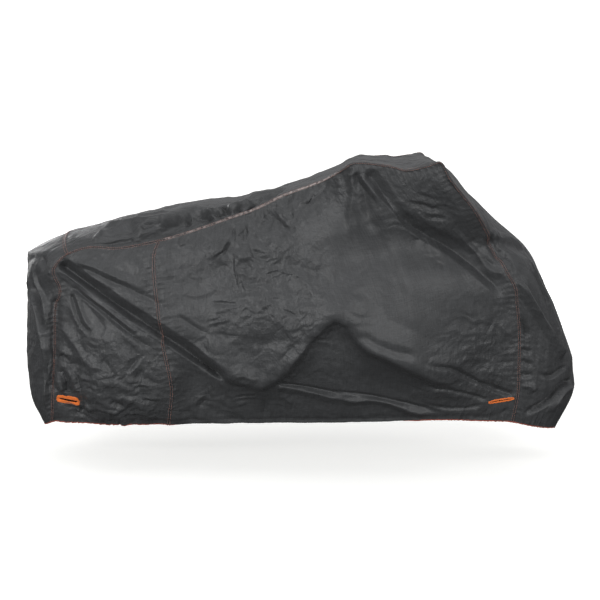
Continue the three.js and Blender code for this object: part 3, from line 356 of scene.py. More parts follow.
# The main folds of the near side
NEAR_FOLDS = folds(View.SIDE, (
    (G, 48, 21, 8, 1.15, 1.3, 0.04, 0.08, -936, 816, -841, 753, -745, 692, -642, 621, -529, 548, -459, 499, -417, 467,
     -355, 420, -314, 392, -277, 368),
    (R, 9, 5, 7, 1.2, 1.3, 0.08, 0.3, -933, 802, -840, 741, -746, 680, -642, 609, -529, 535, -460, 484, -365, 412),
    (G, 16, 8, 6, 1.3, 1.3, 0.08, 0.4, -890, 733, -828, 691, -774, 655, -713, 606, -661, 565, -622, 532, -574, 505,
     -530, 482),
    (R, 7, 7, 8, 1.2, 1.4, 0.15, 0.4, -851, 722, -764, 669, -686, 610, -599, 550, -534, 514),
    (G, 9, 10, 9, 1.3, 1.5, 0.2, 0.3, -894, 811, -805, 794, -718, 755, -639, 723, -553, 678, -457, 622),
    (G, 8, 8, 7, 1.2, 1.4, 0.25, 0.3, -476, 632, -444, 611, -411, 589, -375, 569, -331, 552),
    (R, 10, 14, 10, 1.3, 1.4, 0.15, 0.4, -881, 829, -796, 811, -683, 766, -574, 706),
    (R, 36, 200, 70, 1.0, 2.0, 0.25, 0.2, -860, 236, -740, 232, -600, 232, -420, 240),
    (R, 26, 130, 60, 1.0, 2.0, 0.25, 0.3, 180, 560, 252, 512, 336, 472, 443, 412, 541, 364, 667, 308),
    (L, 36, 70, 230, 1.2, 1.45, 0.08, 0.3, -455, 492, -389, 446, -330, 404, -277, 367, -214, 345, -148, 325, -123,
     337, -85, 361, -30, 414, 19, 473, 60, 535, 134, 606, 182, 579, 219, 526, 252, 497, 336, 453, 443, 392, 541, 344,
     667, 286, 743, 255),
    (R, 9, 10, 9, 1.1, 1.3, 0.1, 0.4, 168, 594, 205, 551, 247, 507, 336, 463, 437, 402, 516, 359),
    (G, 9, 12, 12, 1.2, 1.5, 0.2, 0.3, 218, 589, 265, 543, 335, 510, 410, 487, 468, 454),
    (G, 11, 30, 34, 1.1, 1.7, 0.3, 0.3, -145, 569, -143, 509, -146, 448, -147, 376),
    (R, 16, 9, 14, 1.1, 1.3, 0.06, 0.25, -89, 352, -14, 337, 62, 316, 175, 285),
    (G, 15, 6, 9, 1.1, 1.2, 0.05, 0.25, -85, 360, -14, 350, 61, 335, 174, 311),
    (R, 14, 9, 11, 1.0, 1.3, 0.2, 0.3, 116, 309, 201, 282, 272, 284, 354, 265, 452, 224, 575, 201),
    (G, 13, 5, 7, 1.0, 1.2, 0.2, 0.3, 116, 329, 257, 308, 353, 283, 450, 258, 524, 232, 584, 209),
    (R, 11, 9, 9, 1.5, 1.2, 0.04, 0.5, 189, 1181, 196, 1089, 189, 1020, 195, 934, 191, 873),
    (G, 24, 15, 13, 1.7, 1.3, 0.05, 0.5, 209, 1177, 221, 1137, 239, 1111, 251, 1063, 264, 994, 279, 933),
    (R, 15, 9, 9, 1.6, 1.2, 0.04, 0.4, 215, 1177, 262, 1115, 333, 1045, 377, 992, 423, 929),
    (G, 20, 16, 13, 1.5, 1.4, 0.1, 0.45, 240, 1179, 279, 1145, 319, 1080, 364, 1018, 441, 937),
    (G, 38, 25, 12, 1.2, 1.4, 0.22, 0.2, 354, 1049, 413, 981, 486, 929, 568, 882, 638, 830, 702, 779, 772, 712, 795,
     672),
    (R, 12, 9, 14, 1.0, 1.3, 0.2, 0.2, 573, 963, 614, 926, 654, 888, 707, 822, 737, 792, 784, 778, 815, 766),
    (G, 17, 8, 7, 1.1, 1.2, 0.3, 0.06, 463, 454, 512, 432, 585, 416, 661, 368, 764, 316, 850, 281),
    (G, 10, 6, 6, 1.0, 1.2, 0.3, 0.1, 443, 378, 517, 336, 591, 322, 666, 297, 742, 270),
    (G, 9, 6, 6, 1.0, 1.2, 0.3, 0.2, 483, 269, 572, 242, 646, 239, 695, 242, 733, 260),
    (R, 14, 30, 11, 1.1, 1.3, 0.2, 0.2, -938, 584, -902, 532, -847, 464, -815, 425, -794, 389),
    (R, 10, 8, 9, 1.1, 1.2, 0.1, 0.25, -877, 722, -853, 664, -822, 594, -791, 560),
    (G, 12, 8, 7, 1.1, 1.2, 0.1, 0.25, -885, 704, -862, 627, -837, 577, -802, 557),
    (G, 12, 16, 22, 1.3, 1.4, 0.2, 0.3, -852, 691, -806, 649, -767, 597, -736, 557),
    (R, 14, 7, 9, 1.3, 1.2, 0.3, 0.06, -961, 389, -947, 352, -930, 312),
    (R, 16, 9, 9, 1.1, 1.3, 0.3, 0.06, -915, 420, -887, 365, -871, 309),
    (G, 18, 9, 11, 1.1, 1.3, 0.25, 0.06, -934, 414, -922, 368, -907, 306),
    (G, 22, 26, 34, 1.2, 1.6, 0.25, 0.3, -145, 1013, -80, 984, -25, 930),
    (R, 9, 18, 20, 1.0, 1.5, 0.3, 0.3, -160, 730, -90, 790, 0, 780, 60, 700),
    (R, 8, 22, 22, 1.2, 1.5, 0.25, 0.35, -760, 560, -700, 480, -650, 390, -640, 300),
))

# Its small creases: kind, height, reach, and then x and height of the points of the path in turn
NEAR_CREASES = (
    (R, 7, 7, -824, 539, -778, 529, -752, 498), (G, 8, 9, -835, 520, -802, 500, -761, 498),
    (G, 9, 7, -762, 479, -737, 433, -722, 413), (G, 11, 5, -618, 481, -627, 454, -648, 430, -674, 398),
    (R, 9, 6, -600, 463, -625, 430, -665, 391), (R, 6, 6, -700, 581, -657, 531, -610, 491),
    (G, 9, 5, -795, 374, -758, 378, -721, 388, -676, 398), (R, 8, 6, -786, 363, -722, 373, -685, 394, -648, 426),
    (G, 9, 7, -587, 459, -613, 397, -621, 339, -615, 300), (R, 6, 7, -576, 440, -600, 393, -608, 339),
    (G, 11, 4.5, -617, 300, -588, 293, -546, 285), (R, 6, 5, -609, 312, -583, 301, -547, 296),
    (R, 7, 8, -786, 324, -766, 354, -704, 365, -672, 341, -667, 289), (G, 6, 6, -682, 358, -664, 324, -665, 284),
    (G, 7, 5, -772, 213, -725, 223, -677, 248, -626, 290), (R, 6, 5, -761, 227, -705, 244, -661, 276),
    (G, 8, 5, -676, 231, -645, 252, -609, 275), (G, 6, 5, -736, 204, -661, 221, -602, 225, -547, 230),
    (G, 6, 5, -833, 187, -755, 195, -689, 211), (G, 7, 6, -528, 247, -469, 241),
    (R, 9, 5, -949, 450, -924, 471, -896, 439), (G, 9, 4.5, -950, 439, -921, 454, -900, 428),
    (G, 13, 5, -860, 313, -862, 255, -857, 193), (R, 8, 4.5, -851, 311, -853, 256, -851, 195),
    (G, 11, 4.5, -840, 290, -849, 236, -846, 196), (R, 9, 6, -831, 283, -839, 231, -838, 196),
    (G, 9, 6, -859, 416, -856, 369, -861, 315), (R, 7, 7, -848, 445, -845, 389, -851, 331),
    (G, 6, 6, -677, 245, -647, 289, -619, 292), (R, 6, 6, -902, 664, -870, 608, -852, 564),
    (R, 7, 6, -951, 776, -977, 727, -1001, 682), (G, 7, 5, -942, 765, -913, 749, -890, 730),
    (R, 6, 6, -812, 499, -780, 488, -772, 451), (R, 6, 8, -807, 831, -767, 857, -732, 866),
    (R, 9, 7, -474, 886, -445, 901, -420, 921), (R, 6, 6, -385, 898, -357, 912, -327, 902),
    (R, 14, 8, -346, 841, -306, 874, -283, 902, -262, 929), (G, 18, 12, -304, 841, -279, 868, -265, 902, -259, 923),
    (G, 14, 5, -259, 976, -253, 940, -253, 889), (R, 9, 5, -251, 892, -250, 854, -251, 818, -242, 765, -224, 701),
    (G, 8, 6, -242, 808, -232, 765, -220, 730, -213, 683), (R, 8, 7, -237, 974, -235, 940, -237, 902),
    (G, 11, 6, -207, 983, -210, 947, -207, 910), (R, 8, 6, -195, 989, -198, 951, -196, 923),
    (G, 10, 8, -193, 870, -162, 868, -120, 860), (R, 11, 12, -249, 840, -220, 849, -171, 858),
    (G, 7, 8, -220, 828, -195, 819, -191, 791, -205, 776), (R, 6, 7, -163, 958, -149, 983, -127, 1008),
    (G, 12, 7, -126, 935, -90, 929, -41, 929), (R, 18, 9, -100, 1016, -65, 992, -43, 971, -26, 946),
    (R, 8, 6, -72, 1016, -46, 996, -24, 982), (G, 8, 5, -79, 1011, -57, 992, -33, 975),
    (R, 9, 16, -130, 918, -93, 904, -64, 877), (G, 9, 9, -176, 837, -136, 843, -89, 848),
    (G, 8, 8, -125, 809, -93, 824, -64, 831), (G, 11, 11, -136, 763, -104, 785, -71, 793, -49, 779),
    (R, 7, 7, -162, 770, -125, 795, -75, 803, -39, 786), (G, 9, 9, -165, 748, -147, 717, -125, 685),
    (R, 6, 7, -115, 721, -96, 757, -64, 768), (R, 7, 6, -82, 721, -60, 747, -35, 751),
    (R, 9, 9, -158, 668, -125, 676, -89, 667), (G, 10, 7, -133, 692, -96, 696, -71, 682),
    (G, 9, 5, -82, 660, -46, 650, -3, 627), (R, 6, 5, -75, 664, -39, 656, -3, 636),
    (R, 7, 9, -475, 723, -435, 709, -395, 702, -359, 713, -322, 724, -289, 707),
    (G, 10, 5, -350, 675, -319, 679, -271, 676, -220, 676), (R, 7, 5, -311, 663, -271, 660, -220, 668),
    (G, 10, 7, -356, 605, -330, 609, -308, 617, -284, 625), (R, 9, 8, -356, 595, -330, 600, -301, 610, -257, 622),
    (G, 8, 6, -333, 633, -308, 637, -271, 638), (G, 6, 5, -353, 562, -311, 561, -265, 556, -207, 551),
    (R, 6, 6, -356, 589, -340, 596, -294, 614), (R, 12, 10, -268, 373, -230, 396, -193, 387, -164, 367),
    (G, 6, 4.5, -378, 538, -364, 509, -354, 474), (R, 6, 4.5, -357, 539, -345, 530, -354, 487),
    (R, 6, 5, -334, 444, -305, 427, -276, 405), (R, 7, 6, -168, 581, -166, 492, -160, 375),
    (R, 6, 5, -126, 394, -117, 422, -92, 449), (R, 6, 5, -72, 432, -80, 404, -93, 376),
    (R, 15, 9, -59, 414, -30, 450, 11, 495, 46, 541), (G, 10, 8, -92, 440, -59, 481, -22, 520, 19, 559),
    (G, 8, 6, -38, 554, -9, 580, 27, 576), (R, 9, 7, 85, 556, 109, 586, 134, 607),
    (G, 9, 6, 73, 556, 101, 569, 134, 578), (R, 6, 7, 15, 451, 44, 482, 77, 513),
    (R, 9, 5, -412, 249, -402, 278, -363, 312), (G, 9, 5, -395, 245, -386, 269, -359, 293),
    (R, 9, 5, -357, 354, -346, 317, -338, 289), (G, 9, 5, -348, 363, -339, 331, -333, 298),
    (R, 10, 6, -275, 285, -212, 297, -148, 302), (G, 10, 6, -275, 292, -211, 305, -148, 312),
    (G, 12, 6, -136, 310, -138, 261, -141, 192), (G, 11, 6, -123, 286, -128, 236, -129, 196),
    (R, 9, 6, -81, 308, -52, 286, -18, 259), (R, 8, 6, -115, 271, -81, 266, -39, 246),
    (G, 8, 5, -81, 295, -65, 266, -61, 241), (R, 6, 5, -251, 250, -233, 265, -199, 275),
    (G, 6, 5, -489, 243, -455, 236, -417, 235), (G, 15, 9, -18, 1061, 23, 1050, 58, 1070, 97, 1110, 135, 1146),
    (R, 8, 4.5, 10, 1049, 34, 1077, 47, 1108), (G, 11, 4.5, 21, 1039, 41, 1069, 55, 1097),
    (G, 9, 5, -34, 1050, -32, 1012, -25, 979), (G, 9, 8, 259, 1003, 277, 981, 312, 963),
    (R, 7, 6, 272, 1046, 294, 1019, 307, 984), (G, 6, 7, -12, 811, 19, 807, 44, 791),
    (G, 10, 5, 429, 1101, 471, 1087, 526, 1071), (R, 6, 5, 438, 1110, 479, 1097, 533, 1081),
    (G, 20, 7, 390, 1066, 460, 1051, 511, 1037, 559, 1029), (R, 9, 6, 407, 1048, 461, 1031, 512, 1017, 562, 1013),
    (G, 20, 8, 475, 1007, 521, 1001, 568, 995), (R, 8, 6, 475, 991, 521, 988, 572, 984),
    (R, 8, 4.5, 378, 1048, 408, 1023, 442, 997), (G, 8, 6, 374, 1032, 388, 999, 405, 965),
    (G, 10, 4.5, 410, 954, 440, 918, 474, 916, 496, 889, 511, 872),
    (R, 6, 4.5, 418, 958, 448, 930, 482, 925, 504, 895), (G, 8, 4.5, 460, 857, 509, 850, 560, 859),
    (G, 7, 4.5, 509, 837, 538, 824, 568, 810), (G, 9, 5, 628, 904, 662, 903, 688, 929),
    (G, 6, 5, 591, 952, 614, 926, 632, 904), (G, 22, 11, 702, 868, 719, 834, 745, 813, 784, 802),
    (G, 11, 5, 759, 615, 749, 582, 723, 544), (G, 12, 5, 761, 586, 771, 518, 801, 459),
    (R, 15, 9, 765, 596, 802, 550, 858, 515), (G, 10, 12, 778, 532, 814, 500, 860, 469),
    (R, 8, 5, 771, 446, 811, 456, 860, 459), (G, 7, 5, 782, 433, 817, 421, 862, 429),
    (G, 6, 6, 632, 623, 638, 584, 654, 545), (R, 6, 4, 468, 356, 493, 343, 522, 333),
    (G, 6, 4, 444, 373, 473, 350, 508, 330), (R, 7, 4, 509, 312, 543, 317, 584, 319),
    (G, 7, 4, 406, 358, 455, 332, 509, 314), (R, 6, 4, 493, 271, 522, 259, 562, 248),
    (G, 8, 4.5, 416, 268, 480, 246, 524, 231), (R, 6, 4.5, 687, 215, 715, 235, 739, 245),
    (G, 6, 4.5, 712, 203, 740, 223, 759, 244), (G, 9, 5, 797, 194, 810, 214, 844, 229),
    (G, 6, 5, 335, 510, 373, 489, 411, 472),
)

# The main folds of the far side
FAR_FOLDS = folds(View.SIDE, (
    (G, 30, 26, 18, 1.6, 1.5, 0.08, 0.15, -925, 812, -790, 716, -640, 622, -480, 520, -330, 452, -210, 372),
    (R, 17, 22, 28, 1.3, 1.6, 0.1, 0.3, -915, 776, -790, 680, -640, 586, -500, 490, -380, 420),
    (L, 36, 60, 80, 1.2, 1.4, 0.3, 0.12, -230, 352, -90, 380, 20, 470, 110, 560),
    (L, 40, 90, 110, 1.0, 1.4, 0.05, 0.45, 110, 560, 220, 520, 360, 450, 560, 370, 730, 300),
    (R, 14, 16, 18, 1.8, 1.4, 0.05, 0.6, 199, 1192, 190, 1050, 160, 860, 130, 700),
    (G, 24, 26, 24, 1.9, 1.6, 0.08, 0.5, 216, 1184, 262, 1084, 316, 990, 340, 870),
    (G, 34, 42, 40, 1.3, 1.8, 0.25, 0.3, 300, 1120, 390, 1030, 500, 940, 600, 860, 720, 750),
    (G, 12, 14, 14, 1.0, 1.3, 0.25, 0.25, 380, 1086, 470, 1080, 560, 1046),
    (G, 14, 15, 18, 0.8, 1.4, 0.4, 0.1, 420, 430, 570, 380, 700, 330, 790, 296),
    (G, 20, 28, 34, 1.2, 1.6, 0.25, 0.3, -220, 990, -130, 950, -60, 880),
    (G, 18, 16, 20, 1.4, 1.5, 0.2, 0.4, -880, 700, -820, 590, -790, 460, -800, 340),
    (R, 13, 22, 24, 1.2, 1.5, 0.25, 0.35, -700, 520, -640, 420, -560, 350, -540, 270),
    (R, 15, 18, 26, 1.2, 1.4, 0.2, 0.3, -60, 300, 120, 290, 300, 270, 480, 230),
))

# The main folds of the centre strip
STRIP_FOLDS = (
    *folds(View.SLOPE, (
        (L, 28.9, 70, 60, 1.0, 1.25, 0.12, 0.3, -636, 329, -583, 350, -537, 367, -476, 396, -431, 421, -385, 425,
         -326, 434),
        (G, 17.7, 6, 12, 1.0, 1.15, 0.2, 0.3, -800, 318, -768, 320, -733, 322, -706, 328, -652, 331, -603, 334),
        (R, 13.5, 14, 6.4, 1.0, 1.2, 0.15, 0.3, -656, 331, -617, 329, -574, 324, -540, 329),
        (R, 19.5, 30, 11.2, 1.0, 1.15, 0.15, 0.2, -786, 470, -718, 449, -661, 436, -574, 399, -492, 401, -431, 421),
        (R, 15, 26, 9.6, 1.0, 1.15, 0.2, 0.3, -645, 432, -599, 446, -551, 448, -494, 429),
        (G, 19.8, 7, 16, 1.0, 1.15, 0.2, 0.3, -615, 368, -596, 378, -565, 384, -519, 390),
        (G, 17.6, 20, 30, 1.0, 1.4, 0.3, 0.3, -781, 374, -726, 382, -655, 380, -618, 356),
        (R, 13.5, 9, 7.2, 1.0, 1.2, 0.2, 0.3, -792, 336, -781, 374, -764, 424),
        (R, 16.5, 12, 5.6, 1.0, 1.15, 0.2, 0.2, -697, 305, -655, 307, -597, 312),
        (G, 15, 7, 8, 1.0, 1.15, 0.2, 0.3, -715, 308, -693, 298, -669, 287, -650, 279, -633, 272),
        (G, 16.4, 7, 7, 1.0, 1.2, 0.2, 0.3, -432, 431, -431, 416, -430, 399, -434, 382, -438, 367),
        (R, 13.5, 7, 5.6, 1.0, 1.2, 0.2, 0.3, -416, 419, -419, 403, -422, 382),
        (G, 17.7, 9, 11, 1.0, 1.2, 0.2, 0.3, -423, 451, -397, 428, -368, 402, -337, 398, -309, 394),
        (G, 20.5, 7, 9, 1.0, 1.2, 0.2, 0.3, -340, 441, -326, 427, -310, 411, -295, 398, -282, 386),
        (R, 15, 9, 5.6, 1.0, 1.2, 0.2, 0.3, -385, 425, -346, 425, -319, 432, -297, 468),
        (G, 21.8, 7, 9, 1.0, 1.2, 0.2, 0.2, -297, 482, -289, 458, -280, 431, -272, 413, -265, 397),
        (R, 22.5, 22, 8, 1.0, 1.2, 0.15, 0.2, -284, 431, -265, 441, -223, 461, -184, 477),
        (G, 24.6, 8, 12, 1.0, 1.2, 0.15, 0.2, -257, 403, -237, 428, -215, 456, -192, 459, -171, 462),
        (G, 30, 8, 10, 1.0, 1.2, 0.15, 0.2, -213, 402, -203, 427, -192, 455, -180, 474, -169, 491),
        (G, 20.5, 9, 14, 1.0, 1.2, 0.2, 0.3, -197, 452, -173, 467, -146, 484, -107, 486, -72, 488),
        (R, 16.5, 20, 7.2, 1.0, 1.2, 0.2, 0.3, -385, 425, -346, 431, -312, 442),
        (R, 15, 8, 6.4, 1.0, 1.2, 0.2, 0.3, -310, 408, -303, 424, -304, 442),
        (G, 17.7, 9, 9, 1.0, 1.2, 0.2, 0.3, -331, 385, -345, 398, -361, 412, -369, 431, -376, 448),
        (G, 16.4, 8, 8, 1.0, 1.2, 0.2, 0.3, -283, 389, -287, 402, -291, 416, -296, 434, -300, 450),
        (R, 13.5, 16, 7.2, 1.0, 1.2, 0.2, 0.3, -217, 503, -163, 546, -88, 539, -38, 602),
        (G, 19.8, 10, 14, 1.0, 1.2, 0.2, 0.3, -162, 514, -111, 503, -56, 525),
    )),
    *folds(View.NEAR_TAIL, (
        (R, 19.1, 14, 12, 1.0, 1.15, 0.08, 0.15, -534, 772, -538, 698, -476, 627, -444, 560, -426, 494, -415, 415,
         -428, 319, -451, 214),
        (R, 15.3, 8, 14, 1.0, 1.15, 0.1, 0.25, -491, 776, -464, 715, -420, 653, -404, 587, -404, 538),
        (G, 28, 14, 14, 1.0, 1.2, 0.15, 0.2, -505, 727, -466, 652, -435, 588, -414, 535),
        (G, 23, 9, 7, 1.0, 1.2, 0.2, 0.2, -406, 484, -409, 431, -422, 376, -420, 297, -442, 215),
        (R, 15.3, 14, 7, 1.0, 1.15, 0.03, 0.3, -615, 834, -479, 843, -406, 860),
        (G, 16.6, 8, 10, 1.0, 1.2, 0.2, 0.3, -460, 834, -430, 821, -403, 793),
    )),
    *folds(View.NEAR_NOSE, (
        (R, 26, 10, 12, 1.0, 1.05, 0.04, 0.12, 302, 751, 372, 657, 462, 533, 522, 450, 561, 417),
        (R, 18.9, 60, 50, 1.0, 1.1, 0.1, 0.15, 302, 751, 372, 657, 462, 533, 522, 450, 561, 417),
        (G, 16.2, 6, 7, 1.0, 1.1, 0.1, 0.2, 464, 805, 501, 719, 552, 638, 555, 556, 566, 464),
        (R, 10.8, 7, 7, 1.0, 1.1, 0.1, 0.2, 421, 806, 468, 723, 502, 645, 528, 560, 547, 467),
        (G, 32.4, 9, 12, 1.0, 1.15, 0.08, 0.2, 622, 311, 543, 302, 500, 254, 451, 226, 404, 199),
        (R, 21.6, 12, 14, 1.0, 1.15, 0.15, 0.3, 637, 292, 567, 282, 532, 246, 516, 193),
        (G, 16.2, 7, 7, 1.0, 1.15, 0.2, 0.3, 570, 383, 526, 372, 477, 353, 419, 375),
        (G, 21.6, 7, 7, 1.0, 1.15, 0.2, 0.2, 335, 602, 354, 573, 378, 516),
        (R, 14.85, 9, 8, 1.0, 1.15, 0.2, 0.2, 379, 323, 405, 318, 424, 297),
        (G, 16.2, 7, 7, 1.0, 1.15, 0.2, 0.3, 356, 476, 377, 463, 398, 458),
        (G, 14.85, 7, 7, 1.0, 1.15, 0.2, 0.3, 361, 431, 382, 414, 407, 404),
        (G, 14.85, 7, 7, 1.0, 1.15, 0.2, 0.3, 368, 377, 390, 364, 408, 371),
        (R, 18.9, 20, 16, 1.0, 1.2, 0.15, 0.25, 254, 940, 312, 909, 412, 897, 467, 865, 425, 824),
        (G, 21.6, 10, 12, 1.0, 1.2, 0.15, 0.25, 290, 868, 299, 849, 326, 840),
        (G, 18.9, 8, 10, 1.0, 1.2, 0.15, 0.25, 261, 900, 271, 872, 286, 856),
    )),
    *folds(View.TOP, (
        (G, 13, 16, 24, 1.2, 1.4, 0.2, 0.3, -600, 150, -430, 165, -280, 120, -160, 90),
        (G, 10, 20, 20, 1.1, 1.6, 0.25, 0.25, -120, -160, -60, -40, -90, 70, -150, 160),
        (R, 5, 22, 34, 1.0, 1.5, 0.12, 0.12, 215, -380, 234, -200, 240, 0, 246, 200, 255, 380),
        (G, 6, 60, 60, 1.0, 1.9, 0.25, 0.25, 370, -330, 385, -120, 380, 120, 362, 330),
        (R, 9, 22, 22, 1.2, 1.3, 0.1, 0.4, 500, -385, 440, -260, 360, -120, 300, 0),
        (R, 10, 22, 22, 1.2, 1.3, 0.1, 0.4, 505, 385, 455, 250, 400, 120, 350, 10),
    )),
    *folds(View.TAIL, (
        (G, 18, 26, 26, 1.3, 1.5, 0.1, 0.3, 30, 800, 70, 620, 105, 450, 110, 300),
        (G, 15, 22, 22, 1.3, 1.4, 0.1, 0.4, 130, 790, 175, 660, 200, 520, 195, 380),
    )),
    *folds(View.NOSE, (
        (R, 14, 30, 22, 1.1, 1.3, 0.06, 0.15, 238, 790, 180, 650, 120, 520, 60, 400),
        (G, 20, 18, 22, 1.2, 1.5, 0.1, 0.35, -225, 905, -150, 880, -70, 850, 0, 838),
        (G, 18, 18, 22, 1.2, 1.5, 0.1, 0.35, 225, 900, 150, 872, 80, 862, 20, 850),
        (G, 15, 24, 26, 1.2, 1.4, 0.15, 0.2, -165, 235, -95, 290, -30, 345, 25, 352),
    )),
)


def creases(table: tuple, along: float = 1.0, shift: float = 0.0, share: float = 1.0) -> tuple[Fold, ...]:
    """Turns a table of small creases into folds.

    Args:
        table: For each crease its kind, height and reach, and then the two coordinates of its path's points in turn.
        along: How far their paths are stretched along the cover.
        shift: How far they are moved along it, in millimetres.
        share: How much of their height is kept.

    Returns:
        The folds.
    """
    above, below = {Kind.GROOVE: 0.8, Kind.RIDGE: 2.6}, {Kind.GROOVE: 2.4, Kind.RIDGE: 0.9}
    faint, plain, strong = 9, 0.45, 0.6
    rear_of, in_the_rear = -150, 1.5
    spread, crisp, fade = 1.0, 1.05, 0.4
    found = []
    for kind, height, reach, *path in table:
        height = height * share * (plain if height < faint else strong) * (in_the_rear if path[0] < rear_of else 1)
        reaches = reach * above[kind], reach * below[kind]
        moved = tuple((x * along + shift, z) for x, z in zip(path[::2], path[1::2]))
        found.append(Fold(kind, height, *reaches, spread, crisp, fade, fade, moved))
    return tuple(found)


class Pull(NamedTuple):
    """A place where the cloth is drawn off its base shape, seams and all: its path, its reach and the move."""

    path: tuple[tuple[float, float, float], ...]
    reach: float
    move: tuple[float, float, float]

    def shift(self, points: Array) -> Array:
        """Gives how far the pull moves points of the cloth."""
        spots = np.array(self.path, float)
        if len(spots) == 1:
            distance = np.linalg.norm(points - spots[0], axis=-1)
        else:
            fine = np.linspace(0, len(spots) - 1, 12 * len(spots))
            line = read_at(fine, np.arange(len(spots)), spots)
            distance = np.full(points.shape[:-1], np.inf)
            for spot in line:
                distance = np.minimum(distance, np.linalg.norm(points - spot, axis=-1))
        return np.exp(-((distance / self.reach) ** 2))[..., None] * np.array(self.move, float)


PULLS = (
    Pull(((-950, -242, 660), (-957, -238, 475), (-968, -222, 330)), 20, (-6, 26, 0)),
    Pull(((199, 405, 1212),), 150, (58, 0, -10)),
    Pull(((392, 386, 1190),), 100, (0, 0, 20)),
    Pull(((110, 320, 1150),), 90, (0, 0, -24)),
    Pull(((745, -236, 900), (775, -240, 850)), 22, (-14, 26, -6)),
)

# Where the sides are the most crumpled: x, height, radius, strength
CRUMPLED_PLACES = (
    (-110, 730, 190, 1.1), (-760, 400, 190, 0.9), (500, 1040, 110, 0.9), (110, 1130, 100, 1.0),
    (690, 400, 160, 1.0), (-890, 280, 90, 0.6), (-130, 960, 110, 0.9), (90, 480, 130, 0.5),
    (-700, 300, 220, 0.6), (-300, 930, 120, 0.9), (-480, 820, 160, 0.4),
)
CALM_PLACES = (
    (-430, 740, 150, 0.5), (-780, 640, 130, 0.4), (470, 700, 240, 0.6), (200, 960, 130, 0.6), (300, 420, 150, 0.4),
)


def crumpled(x: Array, z: Array) -> Array:
    """Gives how crumpled a side is at each place, about 0.1 to 2.1."""
    usual, least, most = 0.6, 0.12, 2.1
    amount = np.full(np.broadcast(x, z).shape, usual)
    for places, sign in ((CRUMPLED_PLACES, 1), (CALM_PLACES, -1)):
        for at_x, at_z, radius, strength in places:
            amount += sign * strength * np.exp(-((x - at_x) ** 2 + (z - at_z) ** 2) / radius**2)
    return np.clip(amount, least, most)


def pulled(points: Array) -> Array:
    """Moves points of the cloth by all the pulls."""
    return points + sum(pull.shift(points) for pull in PULLS)


